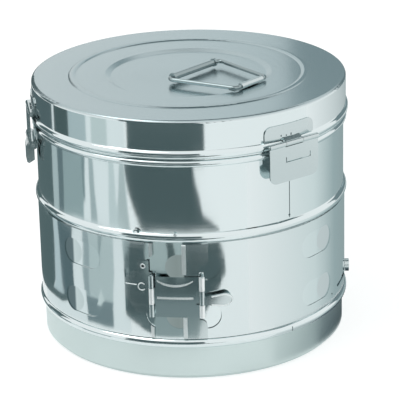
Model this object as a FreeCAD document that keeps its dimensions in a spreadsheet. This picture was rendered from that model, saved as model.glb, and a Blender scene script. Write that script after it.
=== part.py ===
import FreeCAD
import Part
import Sketcher
import math
import os

# Stainless sterilizing drum with a sliding steam band, a hinged lid and three clasps.
# Millimetres. The drum stands on z = 0 around the Z axis and the band clasp faces -Y.
# An azimuth is measured from -Y towards +X. A fitting is drawn facing -Y, with x to the
# right, and is then turned about Z to its azimuth.

doc = FreeCAD.newDocument("sterilizing_drum")
sheet = doc.addObject("Spreadsheet::Sheet", "Sizes")
rows = []


class Size:
    """A number together with the formula that keeps it tied to the sheet."""

    def __init__(self, number, formula):
        self.number = number
        self.formula = formula

    def __add__(self, other):
        return join(self, "+", other, lambda a, b: a + b)

    def __radd__(self, other):
        return join(other, "+", self, lambda a, b: a + b)

    def __sub__(self, other):
        return join(self, "-", other, lambda a, b: a - b)

    def __rsub__(self, other):
        return join(other, "-", self, lambda a, b: a - b)

    def __mul__(self, other):
        return join(self, "*", other, lambda a, b: a * b)

    def __rmul__(self, other):
        return join(other, "*", self, lambda a, b: a * b)

    def __truediv__(self, other):
        return join(self, "/", other, lambda a, b: a / b)

    def __neg__(self):
        return Size(-self.number, f"(-1 * {self.formula})")


def as_size(value):
    if isinstance(value, Size):
        return value
    return Size(float(value), f"({value})" if value < 0 else f"{value}")


def join(left, sign, right, work):
    left = as_size(left)
    right = as_size(right)
    return Size(work(left.number, right.number), f"({left.formula} {sign} {right.formula})")


def sine(degrees):
    degrees = as_size(degrees)
    return Size(math.sin(math.radians(degrees.number)), f"sin({degrees.formula} * 1 deg)")


def cosine(degrees):
    degrees = as_size(degrees)
    return Size(math.cos(math.radians(degrees.number)), f"cos({degrees.formula} * 1 deg)")


def root(value):
    value = as_size(value)
    return Size(math.sqrt(value.number), f"sqrt({value.formula})")


def size(alias, number, meaning):
    """One driving size: a plain number in its own cell, with an alias and a note."""
    rows.append(alias)
    cell = f"B{len(rows)}"
    sheet.set(f"A{len(rows)}", meaning)
    sheet.set(cell, str(number))
    sheet.setAlias(cell, alias)
    return Size(float(number), f"Sizes.{alias}")


def bind(thing, path, value):
    thing.setExpression(path, as_size(value).formula)


# Sketches are closed chains of corners (x, y). A third entry in a corner is the radius of
# the arc that leaves it for the next corner: plus runs anticlockwise, minus clockwise.


def set_point(sketch, edge, end, x, y):
    for kind, value in (("DistanceX", x), ("DistanceY", y)):
        value = as_size(value)
        rule = Sketcher.Constraint(kind, -1, 1, edge, end, value.number)
        index = sketch.addConstraint(rule)
        bind(sketch, f"Constraints[{index}]", value)


def set_radius(sketch, edge, value):
    value = as_size(value)
    index = sketch.addConstraint(Sketcher.Constraint("Radius", edge, value.number))
    bind(sketch, f"Constraints[{index}]", value)


def arc_between(start, end, radius):
    """The minor arc from start to end; a negative radius runs clockwise."""
    chord = end - start
    length = chord.Length
    left = FreeCAD.Vector(-chord.y, chord.x, 0) / length
    height = math.sqrt(max(radius * radius - length * length / 4, 0))
    centre = (start + end) / 2 + left * math.copysign(height, radius)
    first, last = (start, end) if radius > 0 else (end, start)
    angles = [math.atan2(p.y - centre.y, p.x - centre.x) for p in (first, last)]
    circle = Part.Circle(centre, FreeCAD.Vector(0, 0, 1), abs(radius))
    return Part.ArcOfCircle(circle, angles[0], angles[1])


def draw_chain(sketch, chain):
    corners = [[as_size(value) for value in corner] for corner in chain]
    first = sketch.GeometryCount
    count = len(corners)
    points = [FreeCAD.Vector(c[0].number, c[1].number, 0) for c in corners]
    ends = []
    for number, corner in enumerate(corners):
        start = points[number]
        end = points[(number + 1) % count]
        if len(corner) == 2:
            sketch.addGeometry(Part.LineSegment(start, end), False)
            ends.append((1, 2))
        else:
            sketch.addGeometry(arc_between(start, end, corner[2].number), False)
            ends.append((1, 2) if corner[2].number > 0 else (2, 1))
    for number in range(count):
        after = (number + 1) % count
        meet = Sketcher.Constraint(
            "Coincident", first + number, ends[number][1], first + after, ends[after][0]
        )
        sketch.addConstraint(meet)
    for number, corner in enumerate(corners):
        set_point(sketch, first + number, ends[number][0], corner[0], corner[1])
        if len(corner) == 3:
            radius = corner[2] if corner[2].number > 0 else -corner[2]
            set_radius(sketch, first + number, radius)


def draw_circle(sketch, x, y, radius):
    x, y, radius = as_size(x), as_size(y), as_size(radius)
    centre = FreeCAD.Vector(x.number, y.number, 0)
    circle = Part.Circle(centre, FreeCAD.Vector(0, 0, 1), radius.number)
    edge = sketch.addGeometry(circle, False)
    set_point(sketch, edge, 3, x, y)
    set_radius(sketch, edge, radius)


def new_sketch(body, name, role, chains=(), circles=(), turn=None, raise_by=None):
    """A sketch on one of the body's origin planes, turned about Z or raised where asked."""
    sketch = body.newObject("Sketcher::SketchObject", name)
    plane = [f for f in body.Origin.OriginFeatures if f.Role == role][0]
    sketch.AttachmentSupport = [(plane, "")]
    sketch.MapMode = "FlatFace"
    if turn is not None:
        turn = as_size(turn)
        spin = FreeCAD.Rotation(FreeCAD.Vector(0, 1, 0), turn.number)
        sketch.AttachmentOffset = FreeCAD.Placement(FreeCAD.Vector(), spin)
        bind(sketch, "AttachmentOffset.Rotation.Angle", turn)
    if raise_by is not None:
        raise_by = as_size(raise_by)
        lift = FreeCAD.Vector(0, 0, raise_by.number)
        sketch.AttachmentOffset = FreeCAD.Placement(lift, FreeCAD.Rotation())
        bind(sketch, "AttachmentOffset.Base.z", raise_by)
    for chain in chains:
        draw_chain(sketch, chain)
    for x, y, radius in circles:
        draw_circle(sketch, x, y, radius)
    return sketch


def side_sketch(body, name, chains=(), circles=(), turn=None):
    """A section through the axis: corners are (radius, height), facing -Y."""
    turned = []
    for chain in chains:
        turned.append([(-as_size(c[0]), c[1], *[-as_size(r) for r in c[2:]]) for c in chain])
    flipped = [(-as_size(x), y, radius) for x, y, radius in circles]
    return new_sketch(body, name, "YZ_Plane", turned, flipped, turn=turn)


def front_sketch(body, name, chains=(), circles=(), turn=None, raise_by=None):
    """A view from outside: corners are (x, height). It is raised outwards."""
    return new_sketch(body, name, "XZ_Plane", chains, circles, turn=turn, raise_by=raise_by)


def top_sketch(body, name, chains=(), circles=(), raise_by=None):
    """A view from above: corners are (x, y)."""
    return new_sketch(body, name, "XY_Plane", chains, circles, raise_by=raise_by)


def revolve(body, sketch, angle=None, cut=False):
    """A full turn about Z, or an angle shared evenly to both sides."""
    kind = "PartDesign::Groove" if cut else "PartDesign::Revolution"
    feature = body.newObject(kind, sketch.Name + "_turned")
    feature.Profile = sketch
    feature.ReferenceAxis = (sketch, ["V_Axis"])
    feature.Angle = 360
    if angle is not None:
        feature.Angle = as_size(angle).number
        feature.Midplane = True
        bind(feature, "Angle", angle)
    sketch.Visibility = False
    return feature


def extrude(body, sketch, length, both=False, back=False, cut=False):
    """A pad or a pocket of one length, to one side or shared to both."""
    kind = "PartDesign::Pocket" if cut else "PartDesign::Pad"
    feature = body.newObject(kind, sketch.Name + ("_cut" if cut else "_pad"))
    feature.Profile = sketch
    feature.Type = "Length"
    feature.Length = as_size(length).number
    bind(feature, "Length", length)
    feature.SideType = "Symmetric" if both else "One side"
    feature.Reversed = back
    return feature


def repeat(body, features, count, angle):
    """Copies about Z, shared evenly over the angle from first to last."""
    pattern = body.newObject("PartDesign::PolarPattern", features[0].Name + "_repeated")
    pattern.Originals = features
    axis = [f for f in body.Origin.OriginFeatures if f.Role == "Z_Axis"][0]
    pattern.Axis = (axis, [""])
    pattern.Angle = as_size(angle).number
    bind(pattern, "Angle", angle)
    pattern.Occurrences = round(count)
    body.Tip = pattern
    return pattern


def new_body(name):
    body = doc.addObject("PartDesign::Body", name)
    body.Label = name
    return body


def place(piece, azimuth):
    """Turns a fitting that was drawn facing -Y about Z to its azimuth."""
    azimuth = as_size(azimuth)
    spin = FreeCAD.Rotation(FreeCAD.Vector(0, 0, 1), azimuth.number)
    piece.Placement = FreeCAD.Placement(FreeCAD.Vector(), spin)
    bind(piece, "Placement.Rotation.Angle", azimuth)


def round_edges(body, name, picks, radius):
    """Fillets the edges of the tip whose middle passes the test."""
    doc.recompute()
    base = body.Tip
    names = []
    for number, edge in enumerate(base.Shape.Edges, 1):
        if picks(edge):
            names.append(f"Edge{number}")
    fillet = body.newObject("PartDesign::Fillet", name)
    fillet.Base = (base, names)
    fillet.Radius = as_size(radius).number
    bind(fillet, "Radius", radius)
    return fillet


def box_chain(left, low, right, high):
    return [(left, low), (right, low), (right, high), (left, high)]


def slot_chain(left, low, right, high):
    """A straight slot with fully round ends."""
    half = (as_size(high) - low) / 2
    return [
        (as_size(left) + half, low),
        (as_size(right) - half, low, half * 1.0001),
        (as_size(right) - half, high),
        (as_size(left) + half, high, half * 1.0001),
    ]

# Driving sizes: the drum
seat_gap = size("seat_gap", 0.1, "Gap between a curved fitting and the wall it is welded to")
run_gap = size("run_gap", 0.3, "Gap beside a piece that moves")
bore_gap = size("bore_gap", 0.05, "Radial gap of a pin in its knuckle")
through = size("through", 1, "How far a cut runs past the piece")
reach_in = size("reach_in", 5, "How far a fitting is drawn into the wall, then trimmed")
trim_deep = size("trim_deep", 12, "Depth of the cut that seats or faces a fitting")
lap_angle = size("lap_angle", 1, "Angle by which joined plates overlap")
pin_over = size("pin_over", 0.6, "How far a pin stands out of its knuckles")
drum_sheet = size("drum_sheet", 1, "Sheet of the drum and lid")
drum_radius = size("drum_radius", 145, "Outside radius of the drum wall")
total_tall = size("total_tall", 250, "Height of the closed drum")
bead_rise = size("bead_rise", 3, "How far a rolled bead stands out")
foot_rise = size("foot_rise", 32, "Height of the foot below the wall")
low_bead_tall = size("low_bead_tall", 9, "Height of the lower bead")
mid_bead_low = size("mid_bead_low", 134.5, "Lower edge of the middle bead")
mid_bead_tall = size("mid_bead_tall", 9.5, "Height of the middle bead")
top_bead_down = size("top_bead_down", 44, "Lower edge of the upper bead, below the lid's top")
top_bead_low = total_tall - top_bead_down
top_bead_tall = size("top_bead_tall", 7, "Height of the upper bead")
neck_inset = size("neck_inset", 3, "Inset of the neck that enters the lid")
neck_tall = size("neck_tall", 14, "Straight height of the neck")

# Driving sizes: steam holes and the sliding band
hole_radius = size("hole_radius", 12.25, "Radius of a steam hole")
hole_low = size("hole_low", 63.5, "Height of the lower row of holes")
hole_high = size("hole_high", 111, "Height of the upper row of holes")
hole_step = size("hole_step", 60, "Angle between neighbouring holes")
hole_azimuth = size("hole_azimuth", 146.9, "Middle azimuth of the four side and rear holes")
front_holes_azimuth = size("front_holes_azimuth", -27.15, "Middle azimuth of the two front holes")
front_holes_step = size("front_holes_step", 43.9, "Angle between the two front holes")
slot_wide = size("slot_wide", 47, "Length of a steam slot in the band")
slot_lag = size("slot_lag", -4.6, "Azimuth of a slot behind its hole when open")
front_slot_azimuth = size("front_slot_azimuth", -44.7, "Azimuth of the front slot")
band_sheet = size("band_sheet", 0.8, "Sheet of the band")
band_gap = size("band_gap", 0.35, "Gap between drum wall and band")
band_low = size("band_low", 42, "Lower edge of the band")
band_high = size("band_high", 134, "Upper edge of the band")
band_left = size("band_left", -14.2, "Azimuth of the band's left end")
band_right = size("band_right", -3.8, "Azimuth of the band's right end")
open_slot_end = size("open_slot_end", 9.8, "Azimuth where the open-ended slots stop")
hem_angle = size("hem_angle", 1.4, "Angle covered by the band's folded hem")
hem_back = size("hem_back", 0.2, "Angle from the band's end to its hem")
hem_rise = size("hem_rise", 0.8, "Height of the hem on the band")
band_travel = size("band_travel", 19, "Angle that the band slides through")
stud_azimuth = size("stud_azimuth", 88, "Azimuth of the stop stud")
stud_height = size("stud_height", 53, "Height of the stop stud")
stud_radius = size("stud_radius", 2.6, "Radius of the stud's shank")
stud_head_radius = size("stud_head_radius", 6, "Radius of the stud's head")
stud_head_rise = size("stud_head_rise", 4, "Height of the stud's head")

# Driving sizes: the foot and the base pan
foot_inset = size("foot_inset", 0.15, "Gap between foot ring and drum wall")
foot_sheet = size("foot_sheet", 1.2, "Sheet of the foot ring")
foot_curl = size("foot_curl", 4, "Radius of the foot's rolled lower edge")
foot_lap = size("foot_lap", 9, "Length of the foot ring inside the wall")
pan_floor = size("pan_floor", 37, "Height of the pan's floor")
pan_flange = size("pan_flange", 10, "Height of the pan's flange")
pan_corner = size("pan_corner", 3, "Outside corner radius of the pan")
pan_dish = size("pan_dish", 1.2, "Rise of the pan's pressed middle")
pan_dish_radius = size("pan_dish_radius", 95, "Radius of the pan's pressed middle")

# Driving sizes: the lid
lid_clear = size("lid_clear", 1.3, "Gap between drum wall line and lid skirt")
lid_tall = size("lid_tall", 36.7, "Lower edge of the lid, below the lid's top")
lid_low = total_tall - lid_tall
lid_bead_up = size("lid_bead_up", 0.7, "Bead above the lid's lower edge")
lid_bead_low = lid_low + lid_bead_up
lid_bead_tall = size("lid_bead_tall", 8, "Height of the lid's bead")
lid_bead_rise = size("lid_bead_rise", 2.2, "How far the lid's bead stands out")
lid_corner = size("lid_corner", 3.2, "Radius of the lid's top corner")
ring_radius = size("ring_radius", 109, "Radius of the pressed ring on the lid")
ring_wide = size("ring_wide", 7, "Width of the pressed ring")
ring_rise = size("ring_rise", 1.3, "Height of the pressed ring")
recess_radius = size("recess_radius", 78, "Outer radius of the recess's edge")
recess_edge = size("recess_edge", 5, "Width of the recess's sloping edge")
recess_deep = size("recess_deep", 2.2, "Depth of the recess")


def bulge(half, rise):
    """Radius of the arc whose half chord and rise are given."""
    return (half * half + rise * rise) / (rise * 2)


def wall_with_beads(inset):
    """Corners from the wall's foot to the neck, moved in towards the axis by the inset."""
    wall = drum_radius - inset
    chain = []
    for low, tall in (
        (foot_rise, low_bead_tall),
        (mid_bead_low, mid_bead_tall),
        (top_bead_low, top_bead_tall),
    ):
        chain.append((wall, low, bulge(tall / 2, bead_rise)))
        chain.append((wall, low + tall))
    shoulder = top_bead_low + top_bead_tall + neck_inset
    chain.append((wall - neck_inset, shoulder))
    chain.append((wall - neck_inset, shoulder + neck_tall))
    return chain


def turned_back(chain):
    """The same corners in the other order, with every arc running the other way."""
    corners = [as_corner[:2] for as_corner in reversed(chain)]
    for number in range(len(chain) - 1):
        leaving = chain[len(chain) - 2 - number]
        if len(leaving) == 3:
            corners[number] = (*corners[number], -as_size(leaving[2]))
    return corners


def make_body_shell():
    """Drum wall in one sheet: three rolled beads, a neck and two rows of steam holes."""
    body = new_body("body_shell")
    chain = wall_with_beads(0) + turned_back(wall_with_beads(drum_sheet))
    revolve(body, side_sketch(body, "wall_section", [chain]))
    far = drum_radius + bead_rise
    circles = [(0, hole_low, hole_radius), (0, hole_high, hole_radius)]
    sets = (
        ("side_holes", hole_azimuth, hole_step * 3, 4),
        ("front_holes", front_holes_azimuth, front_holes_step, 2),
    )
    for name, middle, spread, count in sets:
        holes = front_sketch(body, name, circles=circles, turn=middle - spread / 2)
        cut = extrude(body, holes, far, back=True, cut=True)
        repeat(body, [cut], count, spread)
    return body


def make_foot_ring():
    """Foot ring that laps inside the wall, with its lower edge rolled inwards."""
    body = new_body("foot_ring")
    outer = drum_radius - drum_sheet - foot_inset
    inner = outer - foot_sheet
    top = foot_rise + foot_lap
    chain = [
        (outer, top),
        (outer, foot_curl, foot_curl),
        (outer - foot_curl, 0),
        (outer - foot_curl * 2, 0),
        (outer - foot_curl * 2, foot_sheet),
        (outer - foot_curl, foot_sheet, -(foot_curl - foot_sheet)),
        (inner, foot_curl),
        (inner, top),
    ]
    revolve(body, side_sketch(body, "foot_section", [chain]))
    return body


def make_base_pan():
    """Floor of the drum: a shallow pan with a pressed middle, seated in the foot ring."""
    body = new_body("base_pan")
    rim = drum_radius - drum_sheet - foot_inset * 2 - foot_sheet
    low = pan_floor
    high = low + drum_sheet
    soft = pan_corner - drum_sheet
    chain = [
        (0, low + pan_dish),
        (0, high + pan_dish),
        (pan_dish_radius, high + pan_dish),
        (pan_dish_radius + pan_corner, high),
        (rim - pan_corner, high, soft),
        (rim - drum_sheet, high + soft),
        (rim - drum_sheet, low + pan_flange),
        (rim, low + pan_flange),
        (rim, low + pan_corner, -pan_corner),
        (rim - pan_corner, low),
        (pan_dish_radius + pan_corner, low),
        (pan_dish_radius, low + pan_dish),
    ]
    revolve(body, side_sketch(body, "pan_section", [turned_back(chain)]))
    return body


def lid_line(inset):
    """Corners from the lid's lower edge to its centre, moved in and down by the inset."""
    wall = drum_radius + lid_clear + drum_sheet - inset
    top = total_tall - inset
    floor = top - recess_deep
    half = ring_wide / 2
    return [
        (wall, lid_low),
        (wall, lid_bead_low, bulge(lid_bead_tall / 2, lid_bead_rise)),
        (wall, lid_bead_low + lid_bead_tall),
        (wall, total_tall - lid_corner, lid_corner - inset),
        (wall - lid_corner + inset, top),
        (ring_radius + half, top, bulge(half, ring_rise)),
        (ring_radius - half, top),
        (recess_radius, top),
        (recess_radius - recess_edge, floor),
        (0, floor),
    ]


def make_lid_shell():
    """Lid in one sheet: beaded skirt, rounded corner, pressed ring and sunk middle."""
    body = new_body("lid_shell")
    chain = lid_line(0) + turned_back(lid_line(drum_sheet))
    revolve(body, side_sketch(body, "lid_section", [chain]))
    return body


def band_line():
    inner = drum_radius + band_gap
    return inner, inner + band_sheet


def make_steam_band():
    """Sliding band: open at the clasp, with steam slots and a short slot for the stop."""
    body = new_body("steam_band")
    inner, outer = band_line()
    ring = side_sketch(body, "band_section", [box_chain(inner, band_low, outer, band_high)])
    revolve(body, ring)
    far = outer + bead_rise

    mouth_middle = (band_left + band_right) / 2
    mouth_half = outer * sine((band_right - band_left) / 2)
    mouth = box_chain(-mouth_half, band_low - through, mouth_half, band_high + through)
    extrude(body, front_sketch(body, "mouth", [mouth], turn=mouth_middle), far, back=True, cut=True)

    hem = (outer - band_sheet / 2, band_sheet / 2 + hem_rise)
    hem_ends = (band_left - hem_angle, band_left - hem_back)
    curved_plate(body, "lower_hem", *hem, band_low, draw_low - run_gap, *hem_ends)
    curved_plate(body, "upper_hem", *hem, draw_high + run_gap * 2, band_high, *hem_ends)

    rows_high = (hole_low, hole_high)
    half = slot_wide / 2
    slots = [slot_chain(-half, z - hole_radius, half, z + hole_radius) for z in rows_high]
    first = hole_azimuth - hole_step * 1.5 + slot_lag
    cut = extrude(body, front_sketch(body, "slots", slots, turn=first), far, back=True, cut=True)
    repeat(body, [cut], 4, hole_step * 3)
    lone = front_sketch(body, "front_slots", slots, turn=front_slot_azimuth)
    extrude(body, lone, far, back=True, cut=True)

    reach = outer * sine(open_slot_end - band_right)
    ends = [slot_chain(-reach, z - hole_radius, reach, z + hole_radius) for z in rows_high]
    extrude(body, front_sketch(body, "end_slots", ends, turn=band_right), far, back=True, cut=True)

    stop_half = stud_radius + run_gap
    middle = stud_azimuth - band_travel / 2
    stop_reach = outer * sine(band_travel / 2) + stop_half
    stop = [slot_chain(-stop_reach, stud_height - stop_half, stop_reach, stud_height + stop_half)]
    extrude(body, front_sketch(body, "stop_slot", stop, turn=middle), far, back=True, cut=True)
    return body


def make_band_stop_stud():
    """Shouldered stud on the drum wall that limits the band's travel."""
    body = new_body("band_stop_stud")
    wall = drum_radius + seat_gap
    under = band_line()[1] + run_gap
    centre = (0, stud_height)
    shank = front_sketch(body, "shank", circles=[(*centre, stud_radius)], raise_by=wall)
    extrude(body, shank, under - wall)
    head = front_sketch(body, "head", circles=[(*centre, stud_head_radius)], raise_by=under)
    extrude(body, head, stud_head_rise)
    place(body, stud_azimuth)
    return body


# Driving sizes: the lid hinge
leaf_sheet = size("leaf_sheet", 1, "Sheet of the hinge and clasp fittings")
hinge_azimuth = size("hinge_azimuth", 37.2, "Azimuth of the hinge")
hinge_half = size("hinge_half", 28, "Half width of the hinge")
hinge_stand = size("hinge_stand", 7, "Hinge pin, outside the drum wall")
hinge_out = drum_radius + hinge_stand
hinge_down = size("hinge_down", 30.5, "Hinge pin, below the lid's top")
hinge_high = total_tall - hinge_down
hinge_pin_radius = size("hinge_pin_radius", 1.5, "Radius of the hinge pin")
hinge_barrel = size("hinge_barrel", 2.55, "Outside radius of a hinge knuckle")
hinge_knuckle_half = size("hinge_knuckle_half", 9.7, "Half width of the lid leaf's knuckle")
lid_leaf_foot = size("lid_leaf_foot", 27.5, "Lower edge of the lid leaf, below the lid's top")
lid_leaf_low = total_tall - lid_leaf_foot
lid_leaf_down = size("lid_leaf_down", 14, "Upper edge of the lid leaf, below the lid's top")
lid_leaf_high = total_tall - lid_leaf_down
lid_leaf_angle = size("lid_leaf_angle", 21.8, "Angle covered by the lid leaf")
lid_leaf_corner = size("lid_leaf_corner", 7, "Radius of the lid leaf's corners")
hinge_plate_down = size("hinge_plate_down", 66, "Lower edge of the body plate, below the lid's top")
hinge_plate_low = total_tall - hinge_plate_down
hinge_plate_corner = size("hinge_plate_corner", 8, "Radius of the body plate's corners")
ear_down = size("ear_down", 54, "Lower corner of the body plate's ears, below the lid's top")
ear_low = total_tall - ear_down
ear_tall = size("ear_tall", 15, "Height of the ears at the plate")
tongue_left = size("tongue_left", -9.5, "Left edge of the lanced tongue")
tongue_right = size("tongue_right", 19, "Right edge of the lanced tongue")
tongue_down = size("tongue_down", 48, "Lower edge of the lanced tongue, below the lid's top")
tongue_low = total_tall - tongue_down
tongue_tall = size("tongue_tall", 5, "Height of the tongue's legs")
lance_wide = size("lance_wide", 0.8, "Width of the lancing cut")

# Driving sizes: the two lid clasps
left_clasp_azimuth = size("left_clasp_azimuth", -82, "Azimuth of the left lid clasp")
rear_clasp_azimuth = size("rear_clasp_azimuth", 157, "Azimuth of the rear lid clasp")
clasp_half = size("clasp_half", 20, "Half width of a lid clasp")
clasp_knuckle_half = size("clasp_knuckle_half", 9.7, "Half width of the hasp's knuckle")
clasp_leaf_angle = size("clasp_leaf_angle", 15.6, "Angle covered by the clasp's leaf")
clasp_leaf_down = size("clasp_leaf_down", 11, "Upper edge of the clasp's leaf, below the lid's top")
clasp_leaf_high = total_tall - clasp_leaf_down
clasp_leaf_corner = size("clasp_leaf_corner", 6, "Radius of the leaf's corners")
clasp_stand = size("clasp_stand", 5.4, "Clasp pin, outside the drum wall")
clasp_out = drum_radius + clasp_stand
clasp_down = size("clasp_down", 25.4, "Clasp pin, below the lid's top")
clasp_high = total_tall - clasp_down
clasp_barrel = size("clasp_barrel", 2.2, "Outside radius of a clasp knuckle")
clasp_pin_radius = size("clasp_pin_radius", 1, "Radius of the clasp pin")
hasp_stand = size("hasp_stand", 6.3, "Inner face of the hasp plate, outside the drum wall")
hasp_out = drum_radius + hasp_stand
lip_stand = size("lip_stand", 4.7, "Lever pin, outside the drum wall")
lip_out = drum_radius + lip_stand
lip_down = size("lip_down", 55.4, "Lever pin, below the lid's top")
lip_high = total_tall - lip_down
lip_barrel = size("lip_barrel", 4.1, "Outside radius of the hasp's rolled lip")
lip_notch_half = size("lip_notch_half", 9, "Half width of the notch in the lip")
lip_notch_rise = size("lip_notch_rise", 5.8, "Height of the notch above the lever pin")
lever_pin_radius = size("lever_pin_radius", 1.5, "Radius of the lever pin")
wing_barrel = size("wing_barrel", 4, "Outside radius of the wing's knuckle")
wing_half = size("wing_half", 8.6, "Half width of the wing")
wing_down = size("wing_down", 76.4, "Lower end of the wing, below the lid's top")
wing_low = total_tall - wing_down
wing_stand = size("wing_stand", 10.3, "Outer face of the wing, outside the drum wall")
wing_out = drum_radius + wing_stand
wing_deep = size("wing_deep", 7.2, "Depth of the wing's side flanges")
wing_corner = size("wing_corner", 6, "Radius of the wing's lower corners")
catch_down = size("catch_down", 50.5, "Lower edge of the catch, below the lid's top")
catch_low = total_tall - catch_down
catch_tall = size("catch_tall", 5, "Height of the catch")
catch_rise = size("catch_rise", 2.2, "How far the catch stands out")
catch_angle = size("catch_angle", 13, "Angle covered by the catch")

# Driving sizes: the band clasp
leaf_left = size("leaf_left", -25, "Azimuth of the band leaf's left edge")
leaf_low = size("leaf_low", 65.6, "Lower edge of the band leaf")
leaf_high = size("leaf_high", 106, "Upper edge of the band leaf")
leaf_cut_wide = size("leaf_cut_wide", 11, "Width of the band leaf's cut corners")
leaf_cut_turn = size("leaf_cut_turn", 4.4, "Angle from the leaf's left edge to its full height")
leaf_cut_low = size("leaf_cut_low", 15, "Height of the lower cut corner")
leaf_cut_high = size("leaf_cut_high", 8, "Height of the upper cut corner")
leaf_tab_left = size("leaf_tab_left", -20, "Azimuth of the leaf's upper tab, left edge")
leaf_tab_right = size("leaf_tab_right", -15.8, "Azimuth of the leaf's upper tab, right edge")
leaf_tab_high = size("leaf_tab_high", 117, "Upper edge of the leaf's upper tab")
draw_pin_azimuth = size("draw_pin_azimuth", -14.8, "Azimuth of the band clasp's pin")
draw_pin_stand = size("draw_pin_stand", 4.4, "Band clasp's pin, outside the drum wall")
draw_pin_out = drum_radius + draw_pin_stand
draw_pin_radius = size("draw_pin_radius", 1.1, "Radius of the band clasp's pins")
draw_barrel = size("draw_barrel", 2.4, "Outside radius of the band clasp's knuckles")
draw_low = size("draw_low", 64, "Lower end of the band clasp's knuckles")
draw_high = size("draw_high", 104, "Upper end of the band clasp's knuckles")
draw_knuckle_low = size("draw_knuckle_low", 76.3, "Lower end of the middle knuckle")
draw_knuckle_high = size("draw_knuckle_high", 91.7, "Upper end of the middle knuckle")
draw_hasp_stand = size("draw_hasp_stand", 3.1, "Inner face of the band hasp, outside the drum wall")
draw_hasp_in = drum_radius + draw_hasp_stand
draw_hasp_left = size("draw_hasp_left", -13.3, "Azimuth of the band hasp's left edge")
draw_hasp_notch = size("draw_hasp_notch", 0.8, "Azimuth where the hasp's notch starts")
draw_lip_azimuth = size("draw_lip_azimuth", 2.8, "Azimuth of the band clasp's lip")
draw_lip_stand = size("draw_lip_stand", 4.9, "Band lever's pin, outside the drum wall")
draw_lip_out = drum_radius + draw_lip_stand
draw_lip_barrel = size("draw_lip_barrel", 2.6, "Outside radius of the band clasp's lip")
draw_lever_low = size("draw_lever_low", 76.3, "Lower end of the band lever's knuckle")
draw_lever_high = size("draw_lever_high", 89.7, "Upper end of the band lever's knuckle")
rib_rise = size("rib_rise", 0.6, "Height of the hasp's pressed ribs")
rib_down = size("rib_down", 3.4, "Ends of the sagging rib, below the hasp's upper edge")
rib_sag = size("rib_sag", 5.2, "How far the sagging rib dips in its middle")
rib_end_tall = size("rib_end_tall", 0.8, "Width of the sagging rib at its ends")
rib_up = size("rib_up", 18.6, "Straight rib, above the hasp's lower edge")
rib_tall = size("rib_tall", 1.8, "Width of the hasp's pressed ribs")
lever_root_half = size("lever_root_half", 3.4, "Half height of the lever beside its knuckle")
lever_belly_half = size("lever_belly_half", 6, "Half height of the lever at its belly")
lever_belly_at = size("lever_belly_at", 19, "Distance from the pin to the lever's belly")
lever_long = size("lever_long", 28, "Distance from the pin to the lever's tip")
lever_nose = size("lever_nose", 7.5, "Radius of the lever's rounded end")
lever_middle = size("lever_middle", 80.5, "Height of the lever's middle line")
lever_sheet = size("lever_sheet", 1.6, "Thickness of the band lever")
bracket_upper_low = size("bracket_upper_low", 113, "Lower edge of the bracket's upper tab")
bracket_upper_end = size("bracket_upper_end", 5.3, "Azimuth where the upper tab ends")
bracket_waist_end = size("bracket_waist_end", 2, "Azimuth where the bracket's waist ends")
bracket_lower_high = size("bracket_lower_high", 60, "Upper edge of the bracket's lower tab")
bracket_lower_end = size("bracket_lower_end", 4.6, "Azimuth where the lower tab ends")
bracket_corner = size("bracket_corner", 6, "Radius of the bracket's corners")
rivet_azimuth = size("rivet_azimuth", -18.5, "Azimuth of the leaf's rivets")
rivet_high = size("rivet_high", 92.4, "Height of the upper rivet")
rivet_step = size("rivet_step", 7.4, "Distance between the rivets")
rivet_radius = size("rivet_radius", 1.7, "Radius of a rivet's head")
rivet_rise = size("rivet_rise", 0.7, "Height of a rivet's head")

# Driving sizes: the bail handle on the lid
handle_azimuth = size("handle_azimuth", 49, "Azimuth of the bail's pivot")
handle_set_in = size("handle_set_in", 2.4, "Bail's pivot inside the recess's outer radius")
handle_out = recess_radius - handle_set_in
handle_lift = size("handle_lift", 3.1, "Lying bail above the lid's top")
handle_high = total_tall + handle_lift
bail_long = size("bail_long", 69, "Distance from the pivot to the grip")
bail_pivot_half = size("bail_pivot_half", 21.7, "Half length of the pivot bar")
bail_grip_half = size("bail_grip_half", 37.3, "Half length of the grip bar")
wire_radius = size("wire_radius", 2, "Radius of the bail's wire")
wire_bend = size("wire_bend", 5, "Radius of the bail's bends")
grip_radius = size("grip_radius", 3.1, "Radius of the grip sleeve")
grip_half = size("grip_half", 28, "Half length of the grip sleeve")
collar_radius = size("collar_radius", 3.9, "Radius of the grip's collars")
collar_wide = size("collar_wide", 2.4, "Width of a collar")
strap_half = size("strap_half", 15, "Half width of the strap")
strap_sheet = size("strap_sheet", 0.8, "Sheet of the strap")
strap_foot = size("strap_foot", 14, "Length of the strap's foot on the lid")


def curved_plate(body, name, inner, thick, low, high, left, right):
    """Sheet plate bent round the drum's axis between two azimuths."""
    section = box_chain(inner, low, inner + thick, high)
    middle = (as_size(left) + right) / 2
    sketch = side_sketch(body, name, [section], turn=middle)
    return revolve(body, sketch, angle=as_size(right) - left)


def bar_through(body, name, out, high, radius, half, cut=False):
    """Round bar or bore along x, at a radius from the axis and a height."""
    sketch = side_sketch(body, name, circles=[(out, high, radius)])
    return extrude(body, sketch, half * 2, both=True, cut=cut)


def upright(body, name, azimuth, out, radius, low, high, cut=False):
    """Round bar or bore along z at an azimuth and a radius."""
    place_at = (out * sine(azimuth), -out * cosine(azimuth), radius)
    sketch = top_sketch(body, name, circles=[place_at], raise_by=low)
    return extrude(body, sketch, high - low, cut=cut, back=cut)


def trim_inside(body, name, radius, low, high):
    """Cuts away whatever lies nearer to the axis than the wall that the fitting sits on."""
    sketch = side_sketch(body, name, [box_chain(radius - trim_deep, low, radius, high)])
    return revolve(body, sketch, cut=True)


def trim_outside(body, name, radius, low, high):
    """Cuts away whatever lies further from the axis than the fitting's outer face."""
    sketch = side_sketch(body, name, [box_chain(radius, low, radius + trim_deep, high)])
    return revolve(body, sketch, cut=True)


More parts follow.
